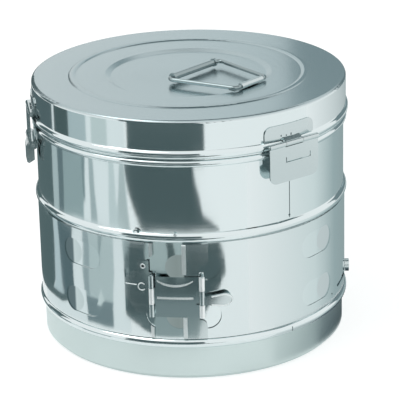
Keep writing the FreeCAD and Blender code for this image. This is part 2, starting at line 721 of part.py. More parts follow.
def radial_edge_at(height, longest):
    """Picks short edges that run through a sheet, level at the given height."""
    def picks(edge):
        box = edge.BoundBox
        level = max(abs(box.ZMin - height.number), abs(box.ZMax - height.number)) < 0.01
        return level and edge.Length < longest.number * 3 / 2
    return picks


def lid_wall():
    return drum_radius + lid_clear + drum_sheet


def make_hinge_body_plate():
    """Fixed hinge plate: two knuckles, ears back to the wall and a lanced tongue."""
    body = new_body("hinge_body_plate")
    face = hinge_out + leaf_sheet + bore_gap
    back = face - leaf_sheet
    wall = drum_radius + seat_gap
    front = box_chain(-hinge_half, hinge_plate_low, hinge_half, hinge_high - leaf_sheet)
    sketch = front_sketch(body, "plate", [front], raise_by=back)
    extrude(body, sketch, leaf_sheet)
    corners = radial_edge_at(hinge_plate_low, leaf_sheet)
    round_edges(body, "plate_corners", corners, hinge_plate_corner)
    bar_through(body, "knuckles", hinge_out, hinge_high, hinge_barrel, hinge_half)

    ear = [
        (wall - reach_in, ear_low + ear_tall / 2),
        (face, ear_low),
        (face, ear_low + ear_tall),
        (wall - reach_in, ear_low + ear_tall),
    ]
    extrude(body, side_sketch(body, "ears", [ear]), hinge_half * 2, both=True)
    hollow = box_chain(
        wall - reach_in - through, ear_low - through, back, ear_low + ear_tall + through
    )
    inside = (hinge_half - leaf_sheet) * 2
    extrude(body, side_sketch(body, "between_ears", [hollow]), inside, both=True, cut=True)

    seat = box_chain(
        tongue_left + lance_wide, tongue_low + lance_wide,
        tongue_right - lance_wide, tongue_low + tongue_tall,
    )
    extrude(body, front_sketch(body, "tongue", [seat], raise_by=wall - reach_in), back - wall + reach_in)
    lance = [
        (tongue_left, tongue_low),
        (tongue_right, tongue_low),
        (tongue_right, tongue_low + tongue_tall),
        (tongue_right - lance_wide, tongue_low + tongue_tall),
        (tongue_right - lance_wide, tongue_low + lance_wide),
        (tongue_left + lance_wide, tongue_low + lance_wide),
        (tongue_left + lance_wide, tongue_low + tongue_tall),
        (tongue_left, tongue_low + tongue_tall),
    ]
    cut = front_sketch(body, "lance", [lance], raise_by=back)
    extrude(body, cut, leaf_sheet, cut=True, back=True)
    trim_inside(body, "wall_seat", wall, hinge_plate_low, hinge_high)
    bead = drum_radius + bead_rise + seat_gap
    trim_inside(body, "bead_seat", bead, top_bead_low - seat_gap, hinge_high)

    gap = hinge_barrel + run_gap
    notch = box_chain(hinge_out - gap, hinge_high - gap, hinge_out + gap, hinge_high + gap)
    wide = (hinge_knuckle_half + run_gap) * 2
    extrude(body, side_sketch(body, "notch", [notch]), wide, both=True, cut=True)
    bore = hinge_pin_radius + bore_gap
    bar_through(body, "bore", hinge_out, hinge_high, bore, hinge_half + through, cut=True)
    place(body, hinge_azimuth)
    return body


def make_hinge_lid_leaf():
    """Lid leaf: a curved plate on the lid's wall with the middle knuckle."""
    body = new_body("hinge_lid_leaf")
    wall = lid_wall() + seat_gap
    half = lid_leaf_angle / 2
    curved_plate(body, "leaf", wall, leaf_sheet, lid_leaf_low, lid_leaf_high, -half, half)
    corners = radial_edge_at(lid_leaf_high, leaf_sheet)
    round_edges(body, "leaf_corners", corners, lid_leaf_corner)
    arm = [
        (wall, lid_leaf_low),
        (hinge_out, hinge_high),
        (hinge_out, hinge_high + hinge_barrel),
        (wall, lid_leaf_low + hinge_barrel),
    ]
    extrude(body, side_sketch(body, "arm", [arm]), hinge_knuckle_half * 2, both=True)
    bar_through(body, "knuckle", hinge_out, hinge_high, hinge_barrel, hinge_knuckle_half)
    trim_inside(body, "wall_seat", wall, lid_leaf_low - through, lid_leaf_high + through)
    bore = hinge_pin_radius + bore_gap
    bar_through(body, "bore", hinge_out, hinge_high, bore, hinge_half, cut=True)
    place(body, hinge_azimuth)
    return body


def make_tangent_pin(name, azimuth, out, high, radius, half):
    """Straight pin along x with softened ends."""
    body = new_body(name)
    bar_through(body, "pin", out, high, radius, half)
    round_edges(body, "ends", lambda edge: edge.isClosed(), radius / 4)
    place(body, azimuth)
    return body


def make_clasp_leaf(name, azimuth):
    """Leaf of a lid clasp: curved plate with two outer knuckles."""
    body = new_body(name)
    wall = lid_wall() + seat_gap
    half = clasp_leaf_angle / 2
    curved_plate(body, "leaf", wall, leaf_sheet, clasp_high, clasp_leaf_high, -half, half)
    corners = radial_edge_at(clasp_leaf_high, leaf_sheet)
    round_edges(body, "leaf_corners", corners, clasp_leaf_corner)
    web = box_chain(wall - reach_in, clasp_high, clasp_out, clasp_high + clasp_barrel)
    extrude(body, side_sketch(body, "web", [web]), clasp_half * 2, both=True)
    bar_through(body, "knuckles", clasp_out, clasp_high, clasp_barrel, clasp_half)
    gap = clasp_barrel + run_gap
    notch = box_chain(wall - reach_in, clasp_high - gap, clasp_out + gap, clasp_high + gap)
    wide = (clasp_knuckle_half + run_gap) * 2
    extrude(body, side_sketch(body, "notch", [notch]), wide, both=True, cut=True)
    trim_inside(body, "wall_seat", wall, clasp_high - gap, clasp_leaf_high + through)
    bore = clasp_pin_radius + bore_gap
    bar_through(body, "bore", clasp_out, clasp_high, bore, clasp_half + through, cut=True)
    place(body, azimuth)
    return body


def make_hasp(name, azimuth):
    """Hasp plate that hangs from the clasp pin and ends in a rolled, notched lip."""
    body = new_body(name)
    shoulder = clasp_high - clasp_barrel - run_gap
    face = hasp_out + leaf_sheet
    plate = box_chain(hasp_out, lip_high, face, shoulder)
    extrude(body, side_sketch(body, "plate", [plate]), clasp_half * 2, both=True)
    neck = box_chain(hasp_out, shoulder - leaf_sheet, face, clasp_high)
    extrude(body, side_sketch(body, "neck", [neck]), clasp_knuckle_half * 2, both=True)
    bar_through(body, "knuckle", clasp_out, clasp_high, clasp_barrel, clasp_knuckle_half)
    bar_through(body, "lip", lip_out, lip_high, lip_barrel, clasp_half)
    notch = box_chain(
        lip_out - lip_barrel - through, lip_high - lip_barrel - through,
        face + lip_barrel, lip_high + lip_notch_rise,
    )
    extrude(body, side_sketch(body, "notch", [notch]), lip_notch_half * 2, both=True, cut=True)
    bore = clasp_pin_radius + bore_gap
    bar_through(body, "bore", clasp_out, clasp_high, bore, clasp_half, cut=True)
    bore = lever_pin_radius + bore_gap
    bar_through(body, "lip_bore", lip_out, lip_high, bore, clasp_half + through, cut=True)
    place(body, azimuth)
    return body


def make_wing_lever(name, azimuth):
    """Finger wing of a lid clasp: a folded channel that turns on the lever pin."""
    body = new_body(name)
    back = wing_out - wing_deep
    profile = [
        (lip_out, lip_high + wing_barrel),
        (back, lip_high - wing_barrel),
        (back, wing_low + wing_corner / 2),
        (wing_out - leaf_sheet * 2, wing_low),
        (wing_out, wing_low + leaf_sheet),
        (wing_out, lip_high - wing_barrel),
        (lip_out + wing_barrel, lip_high),
    ]
    extrude(body, side_sketch(body, "wing", [turned_back(profile)]), wing_half * 2, both=True)
    hollow = box_chain(
        back - through, wing_low + leaf_sheet * 2,
        wing_out - leaf_sheet, lip_high - wing_barrel - leaf_sheet,
    )
    inside = (wing_half - leaf_sheet) * 2
    extrude(body, side_sketch(body, "channel", [hollow]), inside, both=True, cut=True)
    bar_through(body, "knuckle", lip_out, lip_high, wing_barrel, wing_half)
    bore = lever_pin_radius + bore_gap
    bar_through(body, "bore", lip_out, lip_high, bore, clasp_half, cut=True)
    place(body, azimuth)
    return body


def make_catch(name, azimuth):
    """Catch ridge on the drum wall, under the bead and above the closed lip."""
    body = new_body(name)
    half = catch_angle / 2
    wall = drum_radius + seat_gap
    curved_plate(body, "catch", wall, catch_rise, catch_low, catch_low + catch_tall, -half, half)
    place(body, azimuth)
    return body


def make_lid_clasp(side, azimuth):
    """The six pieces of one lid clasp."""
    return [
        make_clasp_leaf(f"{side}_clasp_leaf", azimuth),
        make_tangent_pin(
            f"{side}_clasp_pin", azimuth, clasp_out, clasp_high, clasp_pin_radius, clasp_half + pin_over
        ),
        make_hasp(f"{side}_hasp", azimuth),
        make_tangent_pin(
            f"{side}_lever_pin", azimuth, lip_out, lip_high, lever_pin_radius, clasp_half + pin_over
        ),
        make_wing_lever(f"{side}_lever", azimuth),
        make_catch(f"{side}_catch", azimuth),
    ]


def make_band_clasp_leaf():
    """Leaf on the band's left end: cut corners, an upper tab and two outer knuckles."""
    body = new_body("band_clasp_leaf")
    inner = band_line()[1] + seat_gap
    plate = (inner, leaf_sheet)
    pin = draw_pin_azimuth
    curved_plate(body, "leaf", *plate, leaf_low, leaf_high, leaf_left, pin)
    curved_plate(
        body, "tab", *plate, leaf_high - leaf_sheet, leaf_tab_high, leaf_tab_left, leaf_tab_right
    )
    edge = -leaf_cut_wide
    under = leaf_low - through
    over = leaf_high + through
    lower = [(edge, under), (leaf_sheet, under), (edge, leaf_low + leaf_cut_low)]
    upper = [(edge, over), (edge, leaf_high - leaf_cut_high), (-leaf_sheet, over)]
    far = inner + bead_rise
    corner_turn = leaf_left + leaf_cut_turn
    corners = front_sketch(body, "cut_corners", [lower, upper], turn=corner_turn)
    extrude(body, corners, far, back=True, cut=True)
    upright(body, "knuckles", pin, draw_pin_out, draw_barrel, draw_low, draw_high)
    gap = draw_barrel + run_gap
    notch = box_chain(-gap, draw_knuckle_low - run_gap, gap * 2, draw_knuckle_high + run_gap)
    cut = front_sketch(body, "notch", [notch], turn=pin)
    extrude(body, cut, draw_pin_out + gap, back=True, cut=True)
    bore = draw_pin_radius + bore_gap
    upright(body, "bore", pin, draw_pin_out, bore, draw_low - through, draw_high + through, cut=True)
    return body


def make_upright_pin(name, azimuth, out, low, high):
    """Straight upright pin with softened ends."""
    body = new_body(name)
    upright(body, "pin", azimuth, out, draw_pin_radius, low, high)
    round_edges(body, "ends", lambda edge: edge.isClosed(), draw_pin_radius / 4)
    return body


def make_band_hasp():
    """Hasp that bridges the band's mouth: a sagging rib, a straight rib and two lip knuckles."""
    body = new_body("band_hasp")
    pin = draw_pin_azimuth
    lip = draw_lip_azimuth
    low = draw_low
    high = draw_high - leaf_sheet

    rib_face = draw_hasp_in + leaf_sheet + rib_rise
    rib_left = draw_hasp_left + lap_angle / 2
    rib_right = draw_hasp_notch - lap_angle
    half = rib_face * sine((rib_right - rib_left) / 2)
    ends = high - rib_down
    sagging = [
        (-half, ends - rib_end_tall, bulge(half, rib_sag)),
        (half, ends - rib_end_tall),
        (half, ends, -bulge(half, rib_sag - rib_tall + rib_end_tall)),
        (-half, ends),
    ]
    middle = low + rib_up
    straight = box_chain(-half, middle - rib_tall / 2, half, middle + rib_tall / 2)
    turn = (rib_left + rib_right) / 2
    ribs = front_sketch(body, "ribs", [sagging, straight], turn=turn)
    extrude(body, ribs, rib_face + through)
    inside = draw_hasp_in + leaf_sheet / 2
    core = side_sketch(body, "core", [box_chain(0, low, inside, high)])
    revolve(body, core, cut=True)
    trim_outside(body, "rib_faces", rib_face, low, high)

    plate = (draw_hasp_in, leaf_sheet)
    middle_knuckle = (draw_knuckle_low, draw_knuckle_high)
    curved_plate(body, "plate", *plate, low, high, draw_hasp_left, lip)
    curved_plate(body, "neck", *plate, *middle_knuckle, pin, draw_hasp_left + lap_angle)
    upright(body, "knuckle", pin, draw_pin_out, draw_barrel, *middle_knuckle)
    upright(body, "lip", lip, draw_lip_out, draw_lip_barrel, low, high)
    gap = draw_lip_barrel + run_gap
    reach = draw_hasp_in * sine(lip - draw_hasp_notch)
    notch = box_chain(-reach, draw_lever_low - run_gap, gap, draw_lever_high + run_gap)
    cut = front_sketch(body, "notch", [notch], turn=lip)
    extrude(body, cut, draw_lip_out + gap, back=True, cut=True)
    bore = draw_pin_radius + bore_gap
    upright(body, "bore", pin, draw_pin_out, bore, low - through, high + through, cut=True)
    upright(body, "lip_bore", lip, draw_lip_out, bore, low - through, high + through, cut=True)
    return body


def make_band_lever():
    """Teardrop finger lever of the band clasp, turning on the lip's pin."""
    body = new_body("band_lever")
    lip = draw_lip_azimuth
    inner = draw_lip_out + run_gap
    root_half = lever_root_half
    belly = lever_belly_half
    nose = lever_nose
    drop = [
        (0, lever_middle - root_half),
        (lever_belly_at, lever_middle - belly, nose),
        (lever_long, lever_middle, nose),
        (lever_belly_at, lever_middle + belly),
        (0, lever_middle + root_half),
    ]
    wing = front_sketch(body, "wing", [drop], turn=lip)
    extrude(body, wing, draw_lip_out + lever_sheet * 3)
    low = lever_middle - belly - through
    high = lever_middle + belly + through
    core = side_sketch(body, "core", [box_chain(0, low, inner, high)])
    revolve(body, core, cut=True)
    trim_outside(body, "wing_face", inner + lever_sheet, low, high)
    knuckle = (lip, draw_lip_out, draw_lip_barrel, draw_lever_low, draw_lever_high)
    upright(body, "knuckle", *knuckle)
    bore = draw_pin_radius + bore_gap
    upright(body, "bore", lip, draw_lip_out, bore, draw_low, draw_high, cut=True)
    return body


def make_band_catch_bracket():
    """Bracket on the band's right end: two tabs joined by the waist that the lip hooks."""
    body = new_body("band_catch_bracket")
    plate = (band_line()[1] + seat_gap, leaf_sheet)
    left = band_right + lap_angle / 2
    low = band_low + run_gap
    high = band_high - run_gap
    curved_plate(body, "waist", *plate, low, high, left, bracket_waist_end)
    waist = bracket_waist_end - lap_angle / 2
    curved_plate(body, "upper_tab", *plate, bracket_upper_low, high, waist, bracket_upper_end)
    curved_plate(body, "lower_tab", *plate, low, bracket_lower_high, waist, bracket_lower_end)

    waist_right = (plate[0] * sine(bracket_waist_end)).number + bracket_corner.number / 2
    heights = (bracket_upper_low, bracket_lower_high)

    def outer_corner(edge):
        at_tab = any(radial_edge_at(height, leaf_sheet)(edge) for height in heights)
        return at_tab and edge.BoundBox.XMin > waist_right

    round_edges(body, "tab_corners", outer_corner, bracket_corner)
    return body


def make_band_rivets():
    """Two rivet heads on the band leaf."""
    body = new_body("band_rivets")
    face = band_line()[1] + seat_gap + leaf_sheet + bore_gap
    circles = [(0, rivet_high, rivet_radius), (0, rivet_high - rivet_step, rivet_radius)]
    extrude(body, front_sketch(body, "heads", circles=circles, raise_by=face), rivet_rise)
    place(body, rivet_azimuth)
    return body


def make_handle_strap():
    """Strap on the lid: a flat foot that rises into a loop round the bail's pivot bar."""
    body = new_body("handle_strap")
    floor = total_tall - recess_deep + seat_gap
    top = floor + strap_sheet
    loop = wire_radius + seat_gap + strap_sheet
    under = handle_high - loop
    start = handle_out - strap_foot
    bend = recess_radius - recess_edge - strap_sheet * 2
    foot = [
        (start, floor),
        (bend, floor),
        (handle_out, under),
        (handle_out, under + strap_sheet),
        (bend - strap_sheet / 2, top),
        (start, top),
    ]
    extrude(body, side_sketch(body, "foot", [foot]), strap_half * 2, both=True)
    bar_through(body, "loop", handle_out, handle_high, loop, strap_half)
    bore = wire_radius + seat_gap
    bar_through(body, "bore", handle_out, handle_high, bore, strap_half + through, cut=True)
    place(body, handle_azimuth)
    return body


def make_handle_bail():
    """Closed wire bail: a pivot bar, two spreading arms and a grip bar, softly bent."""
    body = new_body("handle_bail")
    near = -handle_out
    far = near + bail_long
    spread = bail_grip_half - bail_pivot_half
    arm = root(spread * spread + bail_long * bail_long)
    lean = spread / arm
    rise = bail_long / arm
    blunt = wire_bend * (1 - lean) / rise
    sharp = wire_bend * (1 + lean) / rise
    pivot = bail_pivot_half
    grip = bail_grip_half
    path = [
        (pivot - blunt, near, wire_bend),
        (pivot + blunt * lean, near + blunt * rise),
        (grip - sharp * lean, far - sharp * rise, wire_bend),
        (grip - sharp, far),
        (-grip + sharp, far, wire_bend),
        (-grip + sharp * lean, far - sharp * rise),
        (-pivot - blunt * lean, near + blunt * rise, wire_bend),
        (-pivot + blunt, near),
    ]
    spine = top_sketch(body, "spine", [path], raise_by=handle_high)
    section = side_sketch(body, "section", circles=[(handle_out, handle_high, wire_radius)])
    pipe = body.newObject("PartDesign::AdditivePipe", "wire")
    pipe.Profile = section
    pipe.Spine = spine
    place(body, handle_azimuth)
    return body


def grip_line():
    return handle_out - bail_long


def make_handle_grip():
    """Sleeve on the bail's grip bar."""
    body = new_body("handle_grip")
    out = grip_line()
    bar_through(body, "sleeve", out, handle_high, grip_radius, grip_half)
    bore = wire_radius + bore_gap
    bar_through(body, "bore", out, handle_high, bore, grip_half + through, cut=True)
    place(body, handle_azimuth)
    return body


def make_handle_collars():
    """Two collars that hold the sleeve in place."""
    body = new_body("handle_collars")
    out = grip_line()
    far = grip_half + bore_gap + collar_wide
    bar_through(body, "collars", out, handle_high, collar_radius, far)
    gap = grip_half + bore_gap
    clear = collar_radius + through
    middle = box_chain(out - clear, handle_high - clear, out + clear, handle_high + clear)
    extrude(body, side_sketch(body, "middle", [middle]), gap * 2, both=True, cut=True)
    bore = wire_radius + bore_gap
    bar_through(body, "bore", out, handle_high, bore, far + through, cut=True)
    place(body, handle_azimuth)
    return body


def make_all():
    """Builds every sub-part in order and returns the objects that are written out."""
    return [
        make_body_shell(),
        make_foot_ring(),
        make_base_pan(),
        make_lid_shell(),
        make_steam_band(),
        make_band_stop_stud(),
        make_hinge_body_plate(),
        make_tangent_pin(
            "hinge_pin", hinge_azimuth, hinge_out, hinge_high, hinge_pin_radius, hinge_half + pin_over
        ),
        make_hinge_lid_leaf(),
        *make_lid_clasp("left", left_clasp_azimuth),
        *make_lid_clasp("rear", rear_clasp_azimuth),
        make_band_clasp_leaf(),
        make_upright_pin(
            "band_clasp_pin", draw_pin_azimuth, draw_pin_out, draw_low - pin_over, draw_high + pin_over
        ),
        make_band_hasp(),
        make_upright_pin(
            "band_lever_pin", draw_lip_azimuth, draw_lip_out, draw_low - pin_over, draw_high - pin_over
        ),
        make_band_lever(),
        make_band_catch_bracket(),
        make_band_rivets(),
        make_handle_strap(),
        make_handle_bail(),
        make_handle_grip(),
        make_handle_collars(),
    ]


def check_document(pieces):
    """Stops with a message if a feature failed or a piece is not one or more sound solids."""
    for item in doc.Objects:
        states = [state for state in item.State if state in ("Invalid", "Error")]
        if states:
            raise RuntimeError(f"{item.Name} is {states}")
    for piece in pieces:
        shape = piece.Shape
        if shape.isNull() or not shape.isValid() or not shape.Solids:
            raise RuntimeError(f"{piece.Label} has no sound solid")


def write_parts(pieces):
    os.makedirs("parts", exist_ok=True)
    for piece in pieces:
        piece.Shape.exportStep(f"parts/{piece.Label}.step")
        print(piece.Label, len(piece.Shape.Solids), round(piece.Shape.Volume, 1))


doc.recompute()
pieces = make_all()
doc.recompute()
check_document(pieces)
write_parts(pieces)
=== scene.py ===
import math

import bmesh
import bpy
from mathutils import Euler, Matrix, Vector


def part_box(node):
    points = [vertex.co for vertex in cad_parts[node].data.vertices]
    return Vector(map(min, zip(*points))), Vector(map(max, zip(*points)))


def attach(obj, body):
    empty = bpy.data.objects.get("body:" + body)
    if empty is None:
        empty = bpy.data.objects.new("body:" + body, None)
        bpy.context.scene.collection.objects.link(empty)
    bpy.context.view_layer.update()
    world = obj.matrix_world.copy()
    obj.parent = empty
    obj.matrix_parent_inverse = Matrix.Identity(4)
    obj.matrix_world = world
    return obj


# Camera
# A long lens in front of the drum and above it, turned a little to the right. The object
# stands in metres around the Z axis with the band clasp facing -Y.
photo_side = 400
focal_pixels = 2113.1
sensor_wide = 36.0
camera_place = (0.0, -1.8980, 0.8254)
camera_down = 20.35
camera_right = 0.246
camera_roll = 1.356
camera_data = bpy.data.cameras.new("camera")
camera_data.sensor_fit = "HORIZONTAL"
camera_data.sensor_width = sensor_wide
camera_data.lens = focal_pixels / photo_side * sensor_wide
camera_data.clip_start = 0.05
camera_data.clip_end = 50
camera = bpy.data.objects.new("camera", camera_data)
bpy.context.scene.collection.objects.link(camera)
tilt = Euler((math.radians(90 - camera_down), 0, math.radians(-camera_right))).to_matrix()
roll = Matrix.Rotation(math.radians(-camera_roll), 3, "Z")
camera.matrix_world = Matrix.Translation(camera_place) @ (tilt @ roll).to_4x4()
bpy.context.scene.camera = camera
bpy.context.scene.view_settings.view_transform = "Standard"

# Drum wall and floor
# One deep-drawn stainless sheet, rolled into three beads and polished inside and out. Its
# mirror is not quite even: the sheet is a little wavy, and the polishing wheel left faint
# rings, drawn here far coarser than real ones, which would not show.
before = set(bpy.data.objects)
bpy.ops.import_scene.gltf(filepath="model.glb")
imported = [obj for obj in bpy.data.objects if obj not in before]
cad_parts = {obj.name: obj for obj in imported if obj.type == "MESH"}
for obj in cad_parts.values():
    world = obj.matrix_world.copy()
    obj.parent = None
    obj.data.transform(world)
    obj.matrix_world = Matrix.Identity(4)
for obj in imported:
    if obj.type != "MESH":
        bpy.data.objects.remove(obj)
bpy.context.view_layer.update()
polish_ring = 0.0022
polish_wave = 0.055
ring_drift = 9.0


def linear(code):
    """An sRGB hex value as linear colour."""
    levels = [int(code[at : at + 2], 16) / 255 for at in (1, 3, 5)]
    mixed = [v / 12.92 if v <= 0.04045 else ((v + 0.055) / 1.055) ** 2.4 for v in levels]
    return (*mixed, 1)


def add(tree, kind, settings=None, **links):
    """A node with its settings. Each link names an input and gives a value or an output;
    in0, in1 and so on stand for an input's place, and an underscore for a space."""
    node = tree.nodes.new(kind)
    for name, value in (settings or {}).items():
        setattr(node, name, value)
    for name, value in links.items():
        place = int(name[2:]) if name.startswith("in") else name.replace("_", " ")
        socket = node.inputs[place]
        if isinstance(value, bpy.types.NodeSocket):
            tree.links.new(value, socket)
        else:
            socket.default_value = value
    return node


def new_metal(name):
    """An empty metal with its tree, its shader and the object's coordinates."""
    material = bpy.data.materials.new(name)
    material.use_nodes = True
    tree = material.node_tree
    tree.nodes.clear()
    shader = add(tree, "ShaderNodeBsdfPrincipled", Metallic=1.0)
    add(tree, "ShaderNodeOutputMaterial", Surface=shader.outputs["BSDF"])
    place = add(tree, "ShaderNodeTexCoord").outputs["Object"]
    return material, tree, shader, place


def finish_nodes(material, *names):
    """The CAD nodes take this metal in every slot."""
    for name in names:
        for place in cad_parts[name].material_slots:
            place.material = material


def axis_distance(tree, place):
    """The distance of a place from the drum's axis, and the place's separate coordinates."""
    parts = add(tree, "ShaderNodeSeparateXYZ", Vector=place)
    flat = add(tree, "ShaderNodeCombineXYZ", X=parts.outputs["X"], Y=parts.outputs["Y"])
    out = add(tree, "ShaderNodeVectorMath", {"operation": "LENGTH"}, in0=flat.outputs["Vector"])
    return out.outputs["Value"], parts


def ring_lines(tree, place, spacing):
    """Noise that runs round the axis: level lines on a wall and rings on a top."""
    out, parts = axis_distance(tree, place)
    across = add(tree, "ShaderNodeMath", {"operation": "DIVIDE"}, in0=out, in1=spacing)
    up = add(
        tree, "ShaderNodeMath", {"operation": "DIVIDE"}, in0=parts.outputs["Z"], in1=spacing
    )
    along = add(
        tree, "ShaderNodeMath", {"operation": "MULTIPLY"}, in0=parts.outputs["X"], in1=ring_drift
    )
    line = add(
        tree, "ShaderNodeCombineXYZ",
        X=across.outputs["Value"], Y=up.outputs["Value"], Z=along.outputs["Value"],
    )
    noise = add(tree, "ShaderNodeTexNoise", Vector=line.outputs["Vector"], Scale=1.0, Detail=3.0)
    return noise.outputs["Fac"]


def spread(tree, value, low, high):
    """A 0 to 1 value spread from low to high."""
    return add(tree, "ShaderNodeMapRange", Value=value, To_Min=low, To_Max=high).outputs["Result"]


def polished_stainless(name, tint, wave_depth, ring_depth, smooth, dull):
    """Mirror-polished stainless: sharp reflections that bend a little with the sheet."""
    material, tree, shader, place = new_metal(name)
    shader.inputs["Base Color"].default_value = linear(tint)
    rings = ring_lines(tree, place, polish_ring)
    cloud = add(tree, "ShaderNodeTexNoise", Vector=place, Scale=1 / polish_wave, Detail=1.0)
    tree.links.new(spread(tree, rings, smooth, dull), shader.inputs["Roughness"])
    wave = add(
        tree, "ShaderNodeBump", Strength=1.0, Distance=wave_depth, Height=cloud.outputs["Fac"]
    )
    fine = add(
        tree, "ShaderNodeBump", Strength=1.0, Distance=ring_depth, Height=rings,
        Normal=wave.outputs["Normal"],
    )
    tree.links.new(fine.outputs["Normal"], shader.inputs["Normal"])
    return material


drum_metal = polished_stainless(
    "polished_stainless_wall", "#DFE9EA",
    wave_depth=0.00035, ring_depth=0.000004, smooth=0.05, dull=0.11,
)
finish_nodes(drum_metal, "body_shell", "base_pan")

# Foot ring
# A separate rolled ring under the wall, left satin from the abrasive belt, so that it shows
# broad soft light instead of pictures. The belt's lines are drawn coarser than real ones.
belt_line = 0.0011
belt_smooth = 0.26
belt_dull = 0.4
patches_per_metre = 14.0
patch_dark = 0.92
patch_light = 1.06


def grind(tree, shader, lines, depth, streak):
    """Fine lines round the axis, which draw the light out along them."""
    shader.inputs["Anisotropic"].default_value = streak
    tangent = add(tree, "ShaderNodeTangent", {"direction_type": "RADIAL", "axis": "Z"})
    tree.links.new(tangent.outputs["Tangent"], shader.inputs["Tangent"])
    bump = add(tree, "ShaderNodeBump", Strength=1.0, Distance=depth, Height=lines)
    tree.links.new(bump.outputs["Normal"], shader.inputs["Normal"])


foot_metal, tree, shader, place = new_metal("satin_stainless_foot")
lines = ring_lines(tree, place, belt_line)
patch = add(tree, "ShaderNodeTexNoise", Vector=place, Scale=patches_per_metre, Detail=2.0)
grey = spread(tree, patch.outputs["Fac"], patch_dark, patch_light)
tone = add(
    tree, "ShaderNodeMix", {"data_type": "RGBA", "blend_type": "MULTIPLY"},
    in0=1.0, in6=linear("#D0DEDD"), in7=grey,
)
tree.links.new(tone.outputs[2], shader.inputs["Base Color"])
tree.links.new(spread(tree, lines, belt_smooth, belt_dull), shader.inputs["Roughness"])
grind(tree, shader, lines, depth=0.00001, streak=0.5)
finish_nodes(foot_metal, "foot_ring")

# Lid
# One pressed sheet. Its top and inside were spun with an abrasive pad, which leaves rings and
# soft light; its side was polished like the drum. The finish changes between two heights at
# the rounded edge and between two radii in the skirt. Across the same change the spun part
# takes a darker tint: painted shade that makes the top read grey. Its rings too are drawn
# coarse.
pad_line = 0.0016
pad_smooth = 0.16
pad_dull = 0.27
side_smooth = 0.05
side_dull = 0.1
polish_ends = 0.2470
pad_starts = 0.2490
skirt_face = 0.1448
skirt_inside = 0.1438
lid_metal, tree, shader, place = new_metal("spun_top_polished_side_stainless")
rings = ring_lines(tree, place, pad_line)
from_axis, parts = axis_distance(tree, place)
top = add(
    tree, "ShaderNodeMapRange",
    Value=parts.outputs["Z"], From_Min=polish_ends, From_Max=pad_starts,
)
inside = add(
    tree, "ShaderNodeMapRange",
    Value=from_axis, From_Min=skirt_face, From_Max=skirt_inside, To_Min=0.0, To_Max=1.0,
)
spun_finish_and_shade = add(
    tree, "ShaderNodeMath", {"operation": "MAXIMUM"},
    in0=top.outputs["Result"], in1=inside.outputs["Result"],
).outputs["Value"]
rough = add(
    tree, "ShaderNodeMix", {"data_type": "FLOAT"}, in0=spun_finish_and_shade,
    in2=spread(tree, rings, side_smooth, side_dull), in3=spread(tree, rings, pad_smooth, pad_dull),
)
tree.links.new(rough.outputs[0], shader.inputs["Roughness"])
# The spun part's darker tint is painted shade that greys the top.
tone = add(
    tree, "ShaderNodeMix", {"data_type": "RGBA"},
    in0=spun_finish_and_shade, in6=linear("#DFE9EA"), in7=linear("#B0BFC2"),
)
tree.links.new(tone.outputs[2], shader.inputs["Base Color"])
grind(tree, shader, rings, depth=0.000006, streak=0.45)
finish_nodes(lid_metal, "lid_shell")

# Steam band
# A thinner polished sheet that slides round the drum. Being thin, it is wavier than the
# wall, which bends its reflections more. Its hems stand proud and are rubbed rough by
# sliding; a whiter tint paints a highlight on them.
hem_face = 0.1469
rub_border = 0.0001
rubbed_rough = 0.5
# The whiter tint paints a highlight on what stands out.
painted_highlight_tint = "#FBFFFF"


def rub_and_highlight_outside(material, radius):
    """Rougher past this radius, where ribs and edges are rubbed, with a whiter tint: a painted
    highlight.
    """
    tree = material.node_tree
    shader = tree.nodes["Principled BSDF"]
    place = add(tree, "ShaderNodeTexCoord").outputs["Object"]
    mask = add(
        tree, "ShaderNodeMapRange", Value=axis_distance(tree, place)[0],
        From_Min=radius - rub_border, From_Max=radius + rub_border,
    ).outputs["Result"]
    rough = add(
        tree, "ShaderNodeMix", {"data_type": "FLOAT"},
        in0=mask, in2=shader.inputs["Roughness"].links[0].from_socket, in3=rubbed_rough,
    )
    tree.links.new(rough.outputs[0], shader.inputs["Roughness"])
    tint = tuple(shader.inputs["Base Color"].default_value)
    tone = add(
        tree, "ShaderNodeMix", {"data_type": "RGBA"},
        in0=mask, in6=tint, in7=linear(painted_highlight_tint),
    )
    tree.links.new(tone.outputs[2], shader.inputs["Base Color"])


band_metal = polished_stainless(
    "polished_stainless_band", "#DBE5E6",
    wave_depth=0.0006, ring_depth=0.000004, smooth=0.05, dull=0.12,
)
rub_and_highlight_outside(band_metal, hem_face)
finish_nodes(band_metal, "steam_band")

# Hinge, clasps, bracket and finger levers
# Small pressed leaves with rolled knuckles, tumbled bright after stamping: a little
# duller than the drum, with no grinding lines.
fitting_metal = polished_stainless(
    "tumbled_stainless_fittings", "#CBD6D7",
    wave_depth=0.00012, ring_depth=0.000003, smooth=0.12, dull=0.2,
)
finish_nodes(
    fitting_metal,
    "hinge_body_plate", "hinge_lid_leaf", "left_clasp_leaf", "rear_clasp_leaf", "left_hasp",
    "rear_hasp", "left_lever", "rear_lever", "left_catch", "rear_catch", "band_clasp_leaf",
    "band_catch_bracket", "band_stop_stud", "handle_strap", "band_lever",
)

# Hasp of the band clasp
# A pressed plate of the same tumbled stainless. Its two ribs stand proud and are rubbed rough
# by fingers, and a whiter tint paints a highlight on them.
rib_face = 0.1492
hasp_metal = polished_stainless(
    "hasp_stainless_painted_rib_highlight", "#CBD6D7",
    wave_depth=0.00012, ring_depth=0.000003, smooth=0.1, dull=0.16,
)
rub_and_highlight_outside(hasp_metal, rib_face)
finish_nodes(hasp_metal, "band_hasp")

# Pins and rivets
# Drawn stainless wire, cut to length, with the drawing die's slightly soft shine. The pins
# run through the knuckles, and the rivets hold the band's leaf.
wire_metal = polished_stainless(
    "drawn_stainless_wire", "#C6D2D3",
    wave_depth=0.00002, ring_depth=0.000003, smooth=0.14, dull=0.22,
)
finish_nodes(
    wire_metal,
    "hinge_pin", "left_clasp_pin", "left_lever_pin", "rear_clasp_pin", "rear_lever_pin",
    "band_clasp_pin", "band_lever_pin", "band_rivets",
)
